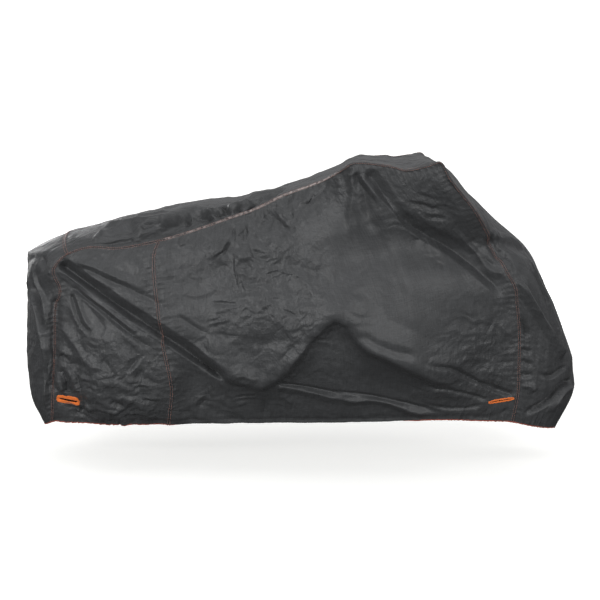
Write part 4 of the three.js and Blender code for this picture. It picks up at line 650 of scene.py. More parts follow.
class CoverShape:
    """The cloth's base shape before its folds: the seams' lines and the surfaces between them."""

    SAMPLES = 2400
    TO_GUARD = 40 / 64  # share of the long seam from the rack seam to the guard's corner

    def __init__(self) -> None:
        """Lays out the seams' lines."""
        self.seams = np.array([(row.seam_x, -row.seam_y, row.seam_z) for row in STRIP], float)
        self.middles = np.array([(row.mid_x, 0, row.mid_z) for row in STRIP], float)
        self.bends = np.array([row.bend for row in STRIP])
        names = [row.at for row in STRIP]
        self.rack = names.index("rack seam") / (len(STRIP) - 1)
        self.guard = names.index("guard corner") / (len(STRIP) - 1)
        self.shares = np.linspace(0, 1, self.SAMPLES)
        rack_at, guard_at = self.seam_at(np.array([self.rack, self.guard]))
        ends = self.seams[0], self.seams[-1]
        self.tail_stations = self.stations_where(2, ends[0][2], rack_at[2], 0, self.rack)
        self.top_stations = self.stations_where(0, rack_at[0], guard_at[0], self.rack, self.guard)
        self.nose_stations = self.stations_where(2, ends[1][2], guard_at[2], self.guard, 1)
        self.side_seam_shares = self.find_side_seam()

    def seam_at(self, station: Array) -> Array:
        """Gives the near side seam's place at stations of the strip, 0 to 1."""
        return curve_through(self.seams, station)

    def stations_where(self, axis: int, first: float, last: float, low: float, high: float) -> Array:
        """Finds the stations that spread a coordinate of the seam evenly.

        Args:
            axis: The coordinate: 0 is x and 2 is z.
            first: Its value at share 0.
            last: Its value at share 1.
            low: The lower bound of the stations.
            high: The upper bound.

        Returns:
            A station for each of the shape's shares.
        """
        wanted = first + (last - first) * self.shares
        bounds = self.seam_at(np.array([low, high]))[:, axis]
        rising = bounds[1] > bounds[0]
        lows, highs = np.full(self.SAMPLES, float(low)), np.full(self.SAMPLES, float(high))
        for _ in range(36):
            middle = (lows + highs) / 2
            short = (self.seam_at(middle)[:, axis] < wanted) == rising
            lows, highs = np.where(short, middle, lows), np.where(short, highs, middle)
        return (lows + highs) / 2

    def tail_station(self, share: Array) -> Array:
        """Gives the station up the tail at shares of its height."""
        return np.interp(share, self.shares, self.tail_stations)

    def long_station(self, share: Array) -> Array:
        """Gives the station along the long seam, from the rack seam over the guard to the nose hem."""
        top = np.interp(share / self.TO_GUARD, self.shares, self.top_stations)
        nose = np.interp(1 - (share - self.TO_GUARD) / (1 - self.TO_GUARD), self.shares, self.nose_stations)
        return np.where(share <= self.TO_GUARD, top, nose)

    def blend(self, u: Array, v: Array, off_table: bool) -> Array:
        """Joins a side's four edges by a smooth sheet.

        Args:
            u: Shares of the way from the tail seam to the nose seam.
            v: Shares of the way from the hem to the top seam.
            off_table: Whether y is what the edges differ from the table of half-widths.

        Returns:
            The sheet's points.
        """
        x = HEM[0, 0] + (HEM[-1, 0] - HEM[0, 0]) * self.shares
        y, z = (smooth_between(HEM[:, 0], lambda i, c=c: HEM[i, c], x) for c in (1, 2))
        lines = {
            "tail": self.seam_at(self.tail_stations), "nose": self.seam_at(self.nose_stations),
            "hem": np.stack([x, -y, z], axis=-1), "top": self.seam_at(self.top_stations),
        }

        def read(name: str, share: Array) -> Array:
            """Reads one edge at shares of its length."""
            line = lines[name].copy()
            if off_table:
                line[:, 1] = -line[:, 1] - half_width(line[:, 0], line[:, 2])
            return read_at(share, self.shares, line)

        su, sv = u[..., None], v[..., None]
        zero, one = np.zeros(1), np.ones(1)
        return (
            read("tail", v) * (1 - su) + read("nose", v) * su + read("hem", u) * (1 - sv) + read("top", u) * sv
            - read("hem", zero) * (1 - su) * (1 - sv) - read("hem", one) * su * (1 - sv)
            - read("top", zero) * (1 - su) * sv - read("top", one) * su * sv
        )

    def find_side_seam(self) -> Array:
        """Finds how far along the side its seam runs, for each of the shape's shares of the height."""
        quarter = np.full(self.SAMPLES, 0.25)
        height = self.blend(quarter, self.shares, False)[:, 2]
        wanted = smooth_between(SIDE_SEAM[:, 0], lambda i: SIDE_SEAM[i, 1], height)
        lows, highs = np.zeros(self.SAMPLES), np.ones(self.SAMPLES)
        for _ in range(30):
            middle = (lows + highs) / 2
            short = self.blend(middle, self.shares, False)[:, 0] < wanted
            lows, highs = np.where(short, middle, lows), np.where(short, highs, middle)
        return (lows + highs) / 2

    def side(self, u: Array, v: Array) -> Array:
        """Gives the near side's points, without folds, at shares along and up it."""
        flat = self.blend(u, v, False)
        out = half_width(flat[..., 0], flat[..., 2]) + self.blend(u, v, True)[..., 1]
        return np.stack([flat[..., 0], -out, flat[..., 2]], axis=-1)

    def strip(self, station: Array, across: Array) -> Array:
        """Gives the strip's points, without folds, at stations and offsets from -1, near, to 1, far."""
        seam, middle = self.seam_at(station), curve_through(self.middles, station)
        bend = np.interp(station * (len(STRIP) - 1), np.arange(len(STRIP)), self.bends)
        turn = abs(across) * math.pi / 2
        out, fall = np.sin(turn) ** bend, 1 - np.clip(np.cos(turn), 0, 1) ** bend
        return np.stack(
            [
                middle[..., 0] + (seam[..., 0] - middle[..., 0]) * fall,
                -np.sign(across) * seam[..., 1] * out,
                middle[..., 2] + (seam[..., 2] - middle[..., 2]) * fall,
            ],
            axis=-1,
        )


# Distances from a sewn edge at which a panel always has a row of points, and from a hem
SEWN_LINES = np.array([0, 2, 5, 8, 10.5, 14.5])
HEM_LINES = np.array([0, 3, 6, 10, 14.5])


class ClothGrid:
    """A panel's cloth as a grid of points, in millimetres, with its place on the flat cloth."""

    def __init__(self, points: Array, facing: int) -> None:
        """Keeps the points.

        Args:
            points: The points, along the panel and across it.
            facing: 1 if the grid's own normals point out of the cover, and -1 if they point in.
        """
        self.points = points
        self.facing = facing

    @staticmethod
    def spread(points: Array, count: int, low: Array, high: Array, lean: float = 0.0) -> Array:
        """Spreads each line's points over its length, with some at given distances from its ends.

        Args:
            points: The lines' points, and any values that go with them after the third.
            count: How many points lie evenly between those at the ends.
            low: The distances from the line's start.
            high: The distances from its end.
            lean: How much closer together they lie at the start than at the end, 0 to 1.

        Returns:
            The lines with their new points.
        """
        lines = []
        even = np.linspace(0, 1, count + 2)[1:-1]
        share = even - lean * even * (1 - even)
        for line in points:
            gone = run_along(line[:, :3])
            middle = low[-1] + (gone[-1] - high[-1] - low[-1]) * share
            wanted = np.concatenate([low, middle, gone[-1] - high[::-1]])
            lines.append(read_at(wanted, gone, line))
        return np.array(lines)

    def normals(self) -> Array:
        """Gives the unit normals that point out of the cover."""
        cross = np.cross(np.gradient(self.points, axis=0), np.gradient(self.points, axis=1)) * self.facing
        return cross / np.maximum(np.linalg.norm(cross, axis=-1, keepdims=True), 1e-9)

    @staticmethod
    def from_edge(values: Array, edge: Edge) -> Array:
        """Turns the grid's values so that they run along an edge first and then away from it."""
        turned = {
            Edge.LOW: values, Edge.HIGH: values[:, ::-1],
            Edge.START: values.swapaxes(0, 1), Edge.END: values[::-1].swapaxes(0, 1),
        }
        return turned[edge]

    def away(self, edge: Edge) -> Array:
        """Gives every point's distance from an edge, along the cloth."""
        gone = run_along(self.from_edge(self.points, edge))
        back = {Edge.LOW: gone, Edge.HIGH: gone[:, ::-1], Edge.START: gone.T, Edge.END: gone.T[::-1]}
        return back[edge]

    def along(self, edge: Edge) -> Array:
        """Gives how far along an edge every point lies, by the line that leads to it."""
        points = self.from_edge(self.points, edge)
        spread = np.broadcast_to(run_along(points[:, 0])[:, None], points.shape[:2])
        back = {Edge.LOW: spread, Edge.HIGH: spread[:, ::-1], Edge.START: spread.T, Edge.END: spread.T[::-1]}
        return back[edge]

    def line_in(self, edge: Edge, inset: float) -> tuple[Array, Array]:
        """Follows an edge at a distance from it.

        Args:
            edge: The edge.
            inset: The distance in millimetres.

        Returns:
            The line's points and the outward normals there.
        """
        points, normals = self.from_edge(self.points, edge), self.from_edge(self.normals(), edge)
        away = self.from_edge(self.away(edge), edge)
        rows = np.arange(len(points))
        i = np.clip((away < inset).sum(axis=1) - 1, 0, points.shape[1] - 2)
        share = ((inset - away[rows, i]) / (away[rows, i + 1] - away[rows, i]))[:, None]
        return tuple(v[rows, i] * (1 - share) + v[rows, i + 1] * share for v in (points, normals))

    def lifted(self, lift: Array) -> "ClothGrid":
        """Gives the grid moved out along its normals."""
        return ClothGrid(self.points + self.normals() * lift[..., None], self.facing)


def to_metres(points: Array) -> Array:
    """Turns millimetres above the ground into metres in the row's frame."""
    return (np.asarray(points, float) - (0, 0, HELD_UP_AT)) / 1000


def quads(rows: int, columns: int, facing: int, closed: bool = False) -> Array:
    """Lists the faces of a grid of points.

    Args:
        rows: The points along the grid.
        columns: The points across it.
        facing: 1 to wind the faces along by across, and -1 for the other way.
        closed: Whether the last row joins the first.

    Returns:
        The four corners of each face.
    """
    i, j = np.meshgrid(np.arange(rows if closed else rows - 1), np.arange(columns - 1), indexing="ij")
    i, j = i.ravel(), j.ravel()
    after = (i + 1) % rows
    faces = np.stack([i * columns + j, after * columns + j, after * columns + j + 1, i * columns + j + 1], axis=-1)
    return faces if facing > 0 else faces[:, ::-1]


def make_piece(
    name: str, points: Array, faces: list, flat: Array, material: bpy.types.Material, values: dict | None = None
) -> bpy.types.Object:
    """Makes a smooth-shaded mesh object.

    Args:
        name: The piece's name.
        points: Its points in millimetres above the ground.
        faces: The corners of each face.
        flat: Each point's place on the flat cloth, in millimetres.
        material: Its finish.
        values: Named values at the points that the finish reads.

    Returns:
        The object.
    """
    mesh = bpy.data.meshes.new(name)
    mesh.from_pydata(to_metres(points.reshape(-1, 3)).tolist(), [], [list(map(int, face)) for face in faces])
    mesh.polygons.foreach_set("use_smooth", np.ones(len(mesh.polygons), bool))
    corners = np.zeros(len(mesh.loops), int)
    mesh.loops.foreach_get("vertex_index", corners)
    layer = mesh.uv_layers.new(name="flat_cloth")
    layer.data.foreach_set("uv", (flat.reshape(-1, 2)[corners] / 1000).ravel().astype(np.float32))
    for label, value in (values or {}).items():
        mesh.attributes.new(label, "FLOAT", "POINT").data.foreach_set("value", value.astype(np.float32))
    mesh.materials.append(material)
    mesh.update()
    piece = bpy.data.objects.new(name, mesh)
    bpy.context.scene.collection.objects.link(piece)
    return piece


def linear(colour: str) -> tuple[float, float, float, float]:
    """Turns an sRGB hex colour, such as #3f4145, to linear light with full alpha."""
    parts = [int(colour[i : i + 2], 16) / 255 for i in (1, 3, 5)]
    return (*(p / 12.92 if p <= 0.04045 else ((p + 0.055) / 1.055) ** 2.4 for p in parts), 1.0)


def add_node(tree: bpy.types.NodeTree, kind: str, inputs: dict | None = None, **settings: object) -> bpy.types.Node:
    """Adds a node with its settings and links.

    Args:
        tree: The material's or world's tree.
        kind: The node's type.
        inputs: Values for its sockets, or the sockets that are linked to them.
        settings: Its other settings.

    Returns:
        The node.
    """
    node = tree.nodes.new(kind)
    for name, value in settings.items():
        setattr(node, name, value)
    for key, value in (inputs or {}).items():
        if isinstance(value, bpy.types.NodeSocket):
            tree.links.new(value, node.inputs[key])
        else:
            node.inputs[key].default_value = value
    return node


def new_material(name: str) -> tuple[bpy.types.Material, bpy.types.NodeTree, bpy.types.NodeSocket]:
    """Makes an empty material.

    Args:
        name: What the material is.

    Returns:
        The material, its tree and the output's surface socket.
    """
    material = bpy.data.materials.new(name)
    material.use_nodes = True
    material.node_tree.nodes.clear()
    output = material.node_tree.nodes.new("ShaderNodeOutputMaterial")
    return material, material.node_tree, output.inputs["Surface"]


@dataclass(frozen=True)
class CoatedPolyester:
    """Plain-woven polyester with a thin polyurethane coating: dark, thin and crisp, with a soft sheen."""

    cloth: str = "#3e3f40"
    rubbed: str = "#4a4b4d"
    seam_highlight: str = "#a59c99"  # painted highlight: the folded edges along the long seam, pale where the seam's ridge catches the light
    roughness: float = 0.46
    rougher_by: tuple[float, float] = (-0.04, 0.06)  # the range of its unevenness
    ior: float = 1.5
    specular: float = 0.33
    sheen: float = 0.03
    sheen_roughness: float = 0.45
    thread_spacing: float = 0.25
    coarser: float = 7.2  # the real threads are too fine to show, so they are drawn this much coarser
    crumple: float = 9.0  # width of the small crumples that packing leaves, in millimetres
    stretch: float = 0.6  # they are longer up the cloth than along it
    slub: float = 5.0  # width of the uneven threads' faint streaks, drawn coarser than they are

    def material(self) -> bpy.types.Material:
        """Makes the coated cloth: fine weave, small crumples, rubbed crease lines and a painted highlight along the
        long seam's edge.
        """
        material, tree, surface = new_material("woven_coated_polyester")
        flat = add_node(tree, "ShaderNodeUVMap", uv_map="flat_cloth").outputs["UV"]
        place = add_node(tree, "ShaderNodeTexCoord").outputs["Object"]
        amount = add_node(tree, "ShaderNodeAttribute", attribute_name="crumple").outputs["Fac"]
        per_metre = 1000 / (self.thread_spacing * self.coarser)
        threads = [
            add_node(tree, "ShaderNodeTexWave",
                     {"Vector": flat, "Scale": per_metre / 20 * math.pi, "Distortion": 0.6, "Detail": 1.0},
                     bands_direction=axis).outputs["Fac"]
            for axis in ("X", "Y")
        ]
        weave = add_node(tree, "ShaderNodeMath", {0: threads[0], 1: threads[1]}, operation="MULTIPLY").outputs[0]
        long = add_node(tree, "ShaderNodeMapping", {"Vector": flat, "Scale": (1.0, self.stretch, 1.0)}).outputs[0]
        creased = [
            add_node(tree, "ShaderNodeTexNoise",
                     {"Vector": long, "Scale": 1000 / size, "Detail": 2.0, "Roughness": 0.45, "Distortion": twist,
                      "Offset": 1.0, "Gain": 1.6}, noise_type="RIDGED_MULTIFRACTAL").outputs["Fac"]
            for size, twist in ((self.crumple * 5, 0.5), (self.crumple * 1.8, 0.9))
        ]
        warp = add_node(tree, "ShaderNodeTexNoise", {"Vector": place, "Scale": 30.0, "Detail": 2.0}).outputs["Color"]
        bent = add_node(tree, "ShaderNodeMix", {"Factor": 0.03, 6: place, 7: warp}, data_type="RGBA").outputs[2]
        facet = add_node(tree, "ShaderNodeTexVoronoi", {"Vector": bent, "Scale": 1000 / (self.crumple * 2.9)},
                         feature="F1", distance="MANHATTAN").outputs["Distance"]
        patches = add_node(tree, "ShaderNodeTexNoise", {"Vector": place, "Scale": 5.0, "Detail": 4.0}).outputs["Fac"]
        slubs = [
            add_node(tree, "ShaderNodeTexNoise", {
                "Vector": add_node(tree, "ShaderNodeMapping", {"Vector": flat, "Scale": (*scale, 1.0)}).outputs[0],
                "Scale": 1000 / self.slub, "Detail": 3.0, "Roughness": 0.6}).outputs["Fac"]
            for scale in ((1.0, 0.09), (0.09, 1.0))
        ]
        slub = add_node(tree, "ShaderNodeMath", {0: slubs[0], 1: slubs[1]}, operation="ADD").outputs[0]
        rubbed = add_node(tree, "ShaderNodeMapRange",
                          {"Value": creased[0], "From Min": 0.9, "From Max": 1.8, "To Min": 0.0, "To Max": 0.7})
        mottled = add_node(tree, "ShaderNodeMath", {0: rubbed.outputs[0], 1: patches}, operation="MULTIPLY")
        colour = add_node(tree, "ShaderNodeMix",
                          {"Factor": mottled.outputs[0], 6: linear(self.cloth), 7: linear(self.rubbed)},
                          data_type="RGBA").outputs[2]
        streaked = add_node(tree, "ShaderNodeMapRange",
                            {"Value": slub, "From Min": 0.7, "From Max": 1.3, "To Min": 0.8, "To Max": 1.2}).outputs[0]
        shade = add_node(tree, "ShaderNodeCombineColor", {0: streaked, 1: streaked, 2: streaked}).outputs[0]
        colour = add_node(tree, "ShaderNodeMix", {"Factor": 1.0, 6: colour, 7: shade}, data_type="RGBA",
                          blend_type="MULTIPLY").outputs[2]
        # a pale broken line along the long seam's folded edge: a painted highlight on the seam's ridge
        seam = add_node(tree, "ShaderNodeAttribute", attribute_name="seam").outputs["Fac"]
        edge = add_node(tree, "ShaderNodeMapRange",
                        {"Value": seam, "From Min": 1.0, "From Max": 9.0, "To Min": 1.2, "To Max": 0.0}).outputs[0]
        highlight_breaks = add_node(tree, "ShaderNodeTexNoise", {"Vector": place, "Scale": 75.0, "Detail": 3.0}).outputs["Fac"]
        highlight_breaks = add_node(tree, "ShaderNodeMapRange", {"Value": highlight_breaks, "From Min": 0.36, "From Max": 0.62}).outputs[0]
        edge = add_node(tree, "ShaderNodeMath", {0: edge, 1: highlight_breaks}, operation="MULTIPLY").outputs[0]
        colour = add_node(tree, "ShaderNodeMix", {"Factor": edge, 6: colour, 7: linear(self.seam_highlight)},
                          data_type="RGBA").outputs[2]
        smoothest, roughest = (self.roughness + more for more in self.rougher_by)
        rough = add_node(tree, "ShaderNodeMapRange",
                         {"Value": patches, "To Min": smoothest, "To Max": roughest})
        bump = None
        for height, distance, where_crumpled in (
            (facet, 0.0013, True), (creased[0], 0.0009, True), (creased[1], 0.0004, True), (slub, 0.0006, False),
            (weave, 0.00008, False),
        ):
            if where_crumpled:
                height = add_node(tree, "ShaderNodeMath", {0: height, 1: amount}, operation="MULTIPLY").outputs[0]
            inputs = {"Height": height, "Distance": distance, "Strength": 1.0}
            if bump:
                inputs["Normal"] = bump
            bump = add_node(tree, "ShaderNodeBump", inputs).outputs["Normal"]
        shader = add_node(
            tree, "ShaderNodeBsdfPrincipled",
            {"Base Color": colour, "Roughness": rough.outputs[0], "IOR": self.ior, "Normal": bump,
             "Specular IOR Level": self.specular, "Sheen Weight": self.sheen,
             "Sheen Roughness": self.sheen_roughness},
        )
        tree.links.new(shader.outputs[0], surface)
        return material


@dataclass(frozen=True)
class TwistedThread:
    """Twisted polyester sewing thread or woven edging, matt, with its twist just visible."""

    name: str
    colour: str
    # the darker tone in the twist's hollows: painted shade
    twist_shade: str
    twist: float = 1.6  # spacing of the drawn twist in millimetres
    roughness: float = 0.72
    sheen: float = 0.3

    def material(self) -> bpy.types.Material:
        """Makes the thread: its colour on the crests of a slanted twist with painted shade in its hollows, and a matt
        surface.
        """
        material, tree, surface = new_material(self.name)
        flat = add_node(tree, "ShaderNodeUVMap", uv_map="flat_cloth").outputs["UV"]
        twist = add_node(
            tree, "ShaderNodeTexWave",
            {"Vector": flat, "Scale": 1000 / self.twist / 20 * math.pi, "Distortion": 0.8, "Detail": 1.0},
            bands_direction="DIAGONAL",
        ).outputs["Fac"]
        # painted shade in the twist's hollows, where its bump sinks, and the thread's colour on the crests
        colour = add_node(tree, "ShaderNodeMix", {"Factor": twist, 6: linear(self.twist_shade), 7: linear(self.colour)},
                          data_type="RGBA").outputs[2]
        bump = add_node(tree, "ShaderNodeBump", {"Height": twist, "Distance": 0.0004, "Strength": 0.5}).outputs[0]
        shader = add_node(
            tree, "ShaderNodeBsdfPrincipled",
            {"Base Color": colour, "Roughness": self.roughness, "Normal": bump, "Sheen Weight": self.sheen},
        )
        tree.links.new(shader.outputs[0], surface)
        return material


@dataclass
class Puckers:
    """Small wrinkles that run off a seam or a gathered hem, from where they start to where they are full."""

    spacing: float
    height: float
    reach: float
    start: float
    full: float
    seed: int

    def lift(self, away: Array, along: Array) -> Array:
        """Works out the wrinkles' lift.

        Args:
            away: Distances from the edge.
            along: Distances along it.

        Returns:
            The lift in millimetres.
        """
        lean = 0.35 * ripple(along, 0 * along, 160, self.seed + 2)
        at = along + lean * away
        phase = at / self.spacing * math.tau + 3.2 * ripple(at, 0.3 * away, 3.1 * self.spacing, self.seed)
        wave = 1 - 2 * abs(np.sin(phase / 2)) ** 0.8
        strength = 0.25 + 0.75 * ease(ripple(at, 0 * at, 5.2 * self.spacing, self.seed + 1), -0.5, 0.6)
        return self.height * strength * wave * ease(away, self.start, self.full) * np.exp(-away / self.reach)


def facets(a: Array, b: Array, size: float, seed: int) -> Array:
    """Gives random flat facets that meet in crisp creases.

    Args:
        a: One coordinate in millimetres.
        b: The other.
        size: The width of a facet in millimetres.
        seed: Picks the facets.

    Returns:
        Values between -1 and 1.
    """
    heights = np.random.default_rng(seed).random((REPEAT, REPEAT)) * 2 - 1
    slant, steep = 0.5774, 1.1547  # these lay the facets out as even triangles
    skew, rise = (a + b * slant) / size, b * steep / size
    i, j = np.floor(skew).astype(int), np.floor(rise).astype(int)
    x, y = skew - i, rise - j
    i, j, next_i, next_j = i % REPEAT, j % REPEAT, (i + 1) % REPEAT, (j + 1) % REPEAT
    upper = x + y > 1
    corner = np.where(upper, heights[next_i, next_j], heights[i, j])
    right, top = heights[next_i, j], heights[i, next_j]
    wx, wy = np.where(upper, 1 - y, x), np.where(upper, 1 - x, y)
    return corner * (1 - wx - wy) + right * wx + top * wy


# The crumples of the whole cloth, from large to small: width, height and the turn of their creases
CRUMPLES = ((170, 9.0, 0.5), (85, 8.0, -0.6), (44, 3.8, 0.2), (23, 1.7, 1.1))


def crumple_lift(grid: ClothGrid, axes: tuple[int, int], seed: int) -> Array:
    """Works out the random creases that packing leaves in the whole cloth.

    Args:
        grid: The panel's cloth.
        axes: The coordinates that the creases are drawn in.
        seed: Picks them.

    Returns:
        The lift in millimetres.
    """
    a, b = (grid.points[..., axis] for axis in axes)
    lift = np.zeros(a.shape)
    for size, height, turn in CRUMPLES:
        warped_a = a + 0.5 * size * ripple(a, b, size * 1.3, seed + size)
        warped_b = b + 0.5 * size * ripple(a, b, size * 1.3, seed + size + 1)
        c, s = math.cos(turn), math.sin(turn)
        along, across = c * warped_a + s * warped_b, c * warped_b - s * warped_a
        patch = 0.25 + 0.75 * ease(ripple(a, b, 3 * size, seed + size + 2), -0.4, 0.5)
        crease = 0.45 - abs(ripple(along, 1.5 * across, size, seed + size + 3)) ** 0.85
        lift += height * patch * (0.85 * facets(along, 1.4 * across, size, seed + size + 4) + 0.25 * crease)
    return lift


@dataclass
class Stitching:
    """A row of stitches, as short lengths of twisted thread lying on the cloth."""

    # The rings of points along a stitch, in shares of its length, and their radius and rise in shares of the thread
    RINGS = (-0.5, -0.38, 0.0, 0.38, 0.5)
    WIDTHS = (0.1, 0.42, 0.5, 0.42, 0.1)
    RISES = (-0.5, 0.2, 0.42, 0.2, -0.5)

    thread: float = 1.5  # the real thread is about 0.4 mm and wouldn't show
    pitch: float = 7.5
    length: float = 5.4
    sides: int = 5
    points: list[Array] = field(default_factory=list)
    faces: list[Array] = field(default_factory=list)
    flat: list[Array] = field(default_factory=list)

    def add_row(self, line: Array, normals: Array) -> None:
        """Adds a row along a line.

        Args:
            line: The line's points on the cloth, in millimetres.
            normals: The outward normals there.
        """
        gone = run_along(line)
        middles = np.arange(self.pitch, gone[-1] - self.pitch / 2, self.pitch)
        sides, rings = self.sides, np.array(self.RINGS) * self.length
        start = read_at(middles - self.length / 2, gone, line)
        end = read_at(middles + self.length / 2, gone, line)
        run = (end - start) / np.maximum(np.linalg.norm(end - start, axis=1, keepdims=True), 1e-6)
        up = read_at(middles, gone, normals)
        across = np.cross(up, run)
        across /= np.maximum(np.linalg.norm(across, axis=1, keepdims=True), 1e-6)
        up = np.cross(run, across)
        turns = np.arange(sides) * math.tau / sides
        made = sum(len(p) for p in self.points)
        stitches = []
        for along, width, height in zip(rings, np.array(self.WIDTHS) * self.thread, self.RISES):
            centre = read_at(middles + along, gone, line) + up * (height * self.thread)
            ring = [centre + across * (math.cos(t) * width) + up * (math.sin(t) * width) for t in turns]
            stitches.append(np.stack(ring, axis=1))
        points = np.stack(stitches, axis=1)
        count = len(middles)
        block = len(rings) * sides
        faces = []
        for r in range(len(rings) - 1):
            for k in range(sides):
                after = (k + 1) % sides
                faces.append([r * sides + k, r * sides + after, (r + 1) * sides + after, (r + 1) * sides + k])
        body = np.array(faces)[None] + np.arange(count)[:, None, None] * block + made
        caps = [np.arange(sides)[::-1], np.arange(sides) + (len(rings) - 1) * sides]
        ends = [cap[None] + np.arange(count)[:, None] * block + made for cap in caps]
        self.points.append(points.reshape(-1, 3))
        self.faces += [*body.reshape(-1, 4), *ends[0], *ends[1]]
        spots = np.stack(np.broadcast_arrays(
            middles[:, None, None] + rings[None, :, None], np.arange(sides)[None, None] * 1.0), axis=-1)
        self.flat.append(spots.reshape(-1, 2))

    def make(self, name: str, material: bpy.types.Material) -> bpy.types.Object:
        """Makes the piece with all rows."""
        return make_piece(name, np.concatenate(self.points), self.faces, np.concatenate(self.flat), material)


@dataclass
class TurnedHem:
    """The hem: the cloth turned up inside, with a woven edging round its lower edge."""

    turn_radius: float = 1.3
    turned_up: float = 22.0
    edging: float = 5.0
    edging_thickness: float = 0.8
    rows_up: int = 9  # the cloth's rows above the hem's edge that the turned cloth follows
    edging_back: tuple[float, float] = (-0.2, 0.6)  # the edging's flat back: its rise and half its width

    def profile(self, grid: ClothGrid, edge: Edge) -> tuple[Array, Array, Array]:
        """Follows the cloth down its outside, round the hem's edge and up inside.

        Args:
            grid: The panel's cloth.
            edge: The edge that is the hem.

        Returns:
            For each line that meets the hem: the points, their outward normals and their distances
            along the cloth, negative outside and 0 at the hem's edge.
        """
        rows = self.rows_up
        points = grid.from_edge(grid.points, edge)[:, :rows]
        normals = grid.from_edge(grid.normals(), edge)[:, :rows]
        away = grid.from_edge(grid.away(edge), edge)[:, :rows]
        down = points[:, 0] - points[:, 1]
        down /= np.linalg.norm(down, axis=1, keepdims=True)
        out, r = normals[:, 0], self.turn_radius
        turns = np.linspace(0, math.pi, 6)[1:-1]
        arc = [points[:, 0] + down * r * math.sin(t) - out * r * (1 - math.cos(t)) for t in turns]
        arc_normals = [out * math.cos(t) + down * math.sin(t) for t in turns]
        kept = (away < self.turned_up).all(axis=0)
        inside, inside_normals = points[:, kept] - normals[:, kept] * 2 * r, -normals[:, kept]
        line = np.concatenate([points[:, ::-1], np.stack(arc, 1), inside], axis=1)
        facing = np.concatenate([normals[:, ::-1], np.stack(arc_normals, 1), inside_normals], axis=1)
        gone = run_along(line)
        middle = rows + len(turns) / 2 - 0.5
        zero = (gone[:, int(middle)] + gone[:, int(math.ceil(middle))]) / 2
        return line, facing, gone - zero[:, None]

    def turned_rows(self, grid: ClothGrid, edge: Edge) -> Array:
        """Gives the rows of the cloth beyond the hem's edge: round it and up inside."""
        line, _, _ = self.profile(grid, edge)
        return line[:, self.rows_up:]

    def edging_piece(
        self, name: str, grid: ClothGrid, edge: Edge, rolled: Array, material: bpy.types.Material
    ) -> bpy.types.Object:
        """Makes the woven edging.

        Args:
            name: The piece's name.
            grid: The panel's cloth.
            edge: The edge that is the hem.
            rolled: How far the edging is rolled inside at each line, in millimetres.
            material: Its finish.

        Returns:
            The piece.
        """
        line, facing, gone = self.profile(grid, edge)
        across, (back, half) = np.linspace(-1, 1, 9), self.edging_back
        proud = np.concatenate([self.edging_thickness * (1 - across**6), (back, back)])[:, None]
        at = np.concatenate([across, [half, -half]]) * self.edging
        points = np.array([
            read_at(at + roll, keys, places) + read_at(at + roll, keys, normals) * proud
            for roll, keys, places, normals in zip(rolled, gone, line, facing)
        ])
        points = np.concatenate([points, points[:, :1]], axis=1)
        along = grid.from_edge(grid.along(edge), edge)[:, 0]
        flat = np.stack(np.broadcast_arrays(along[:, None], np.append(at, at[0])[None]), axis=-1)
        turn = 1 if edge in (Edge.LOW, Edge.END) else -1
        faces = quads(points.shape[0], points.shape[1], turn * grid.facing)
        return make_piece(name, points, faces, flat, material)


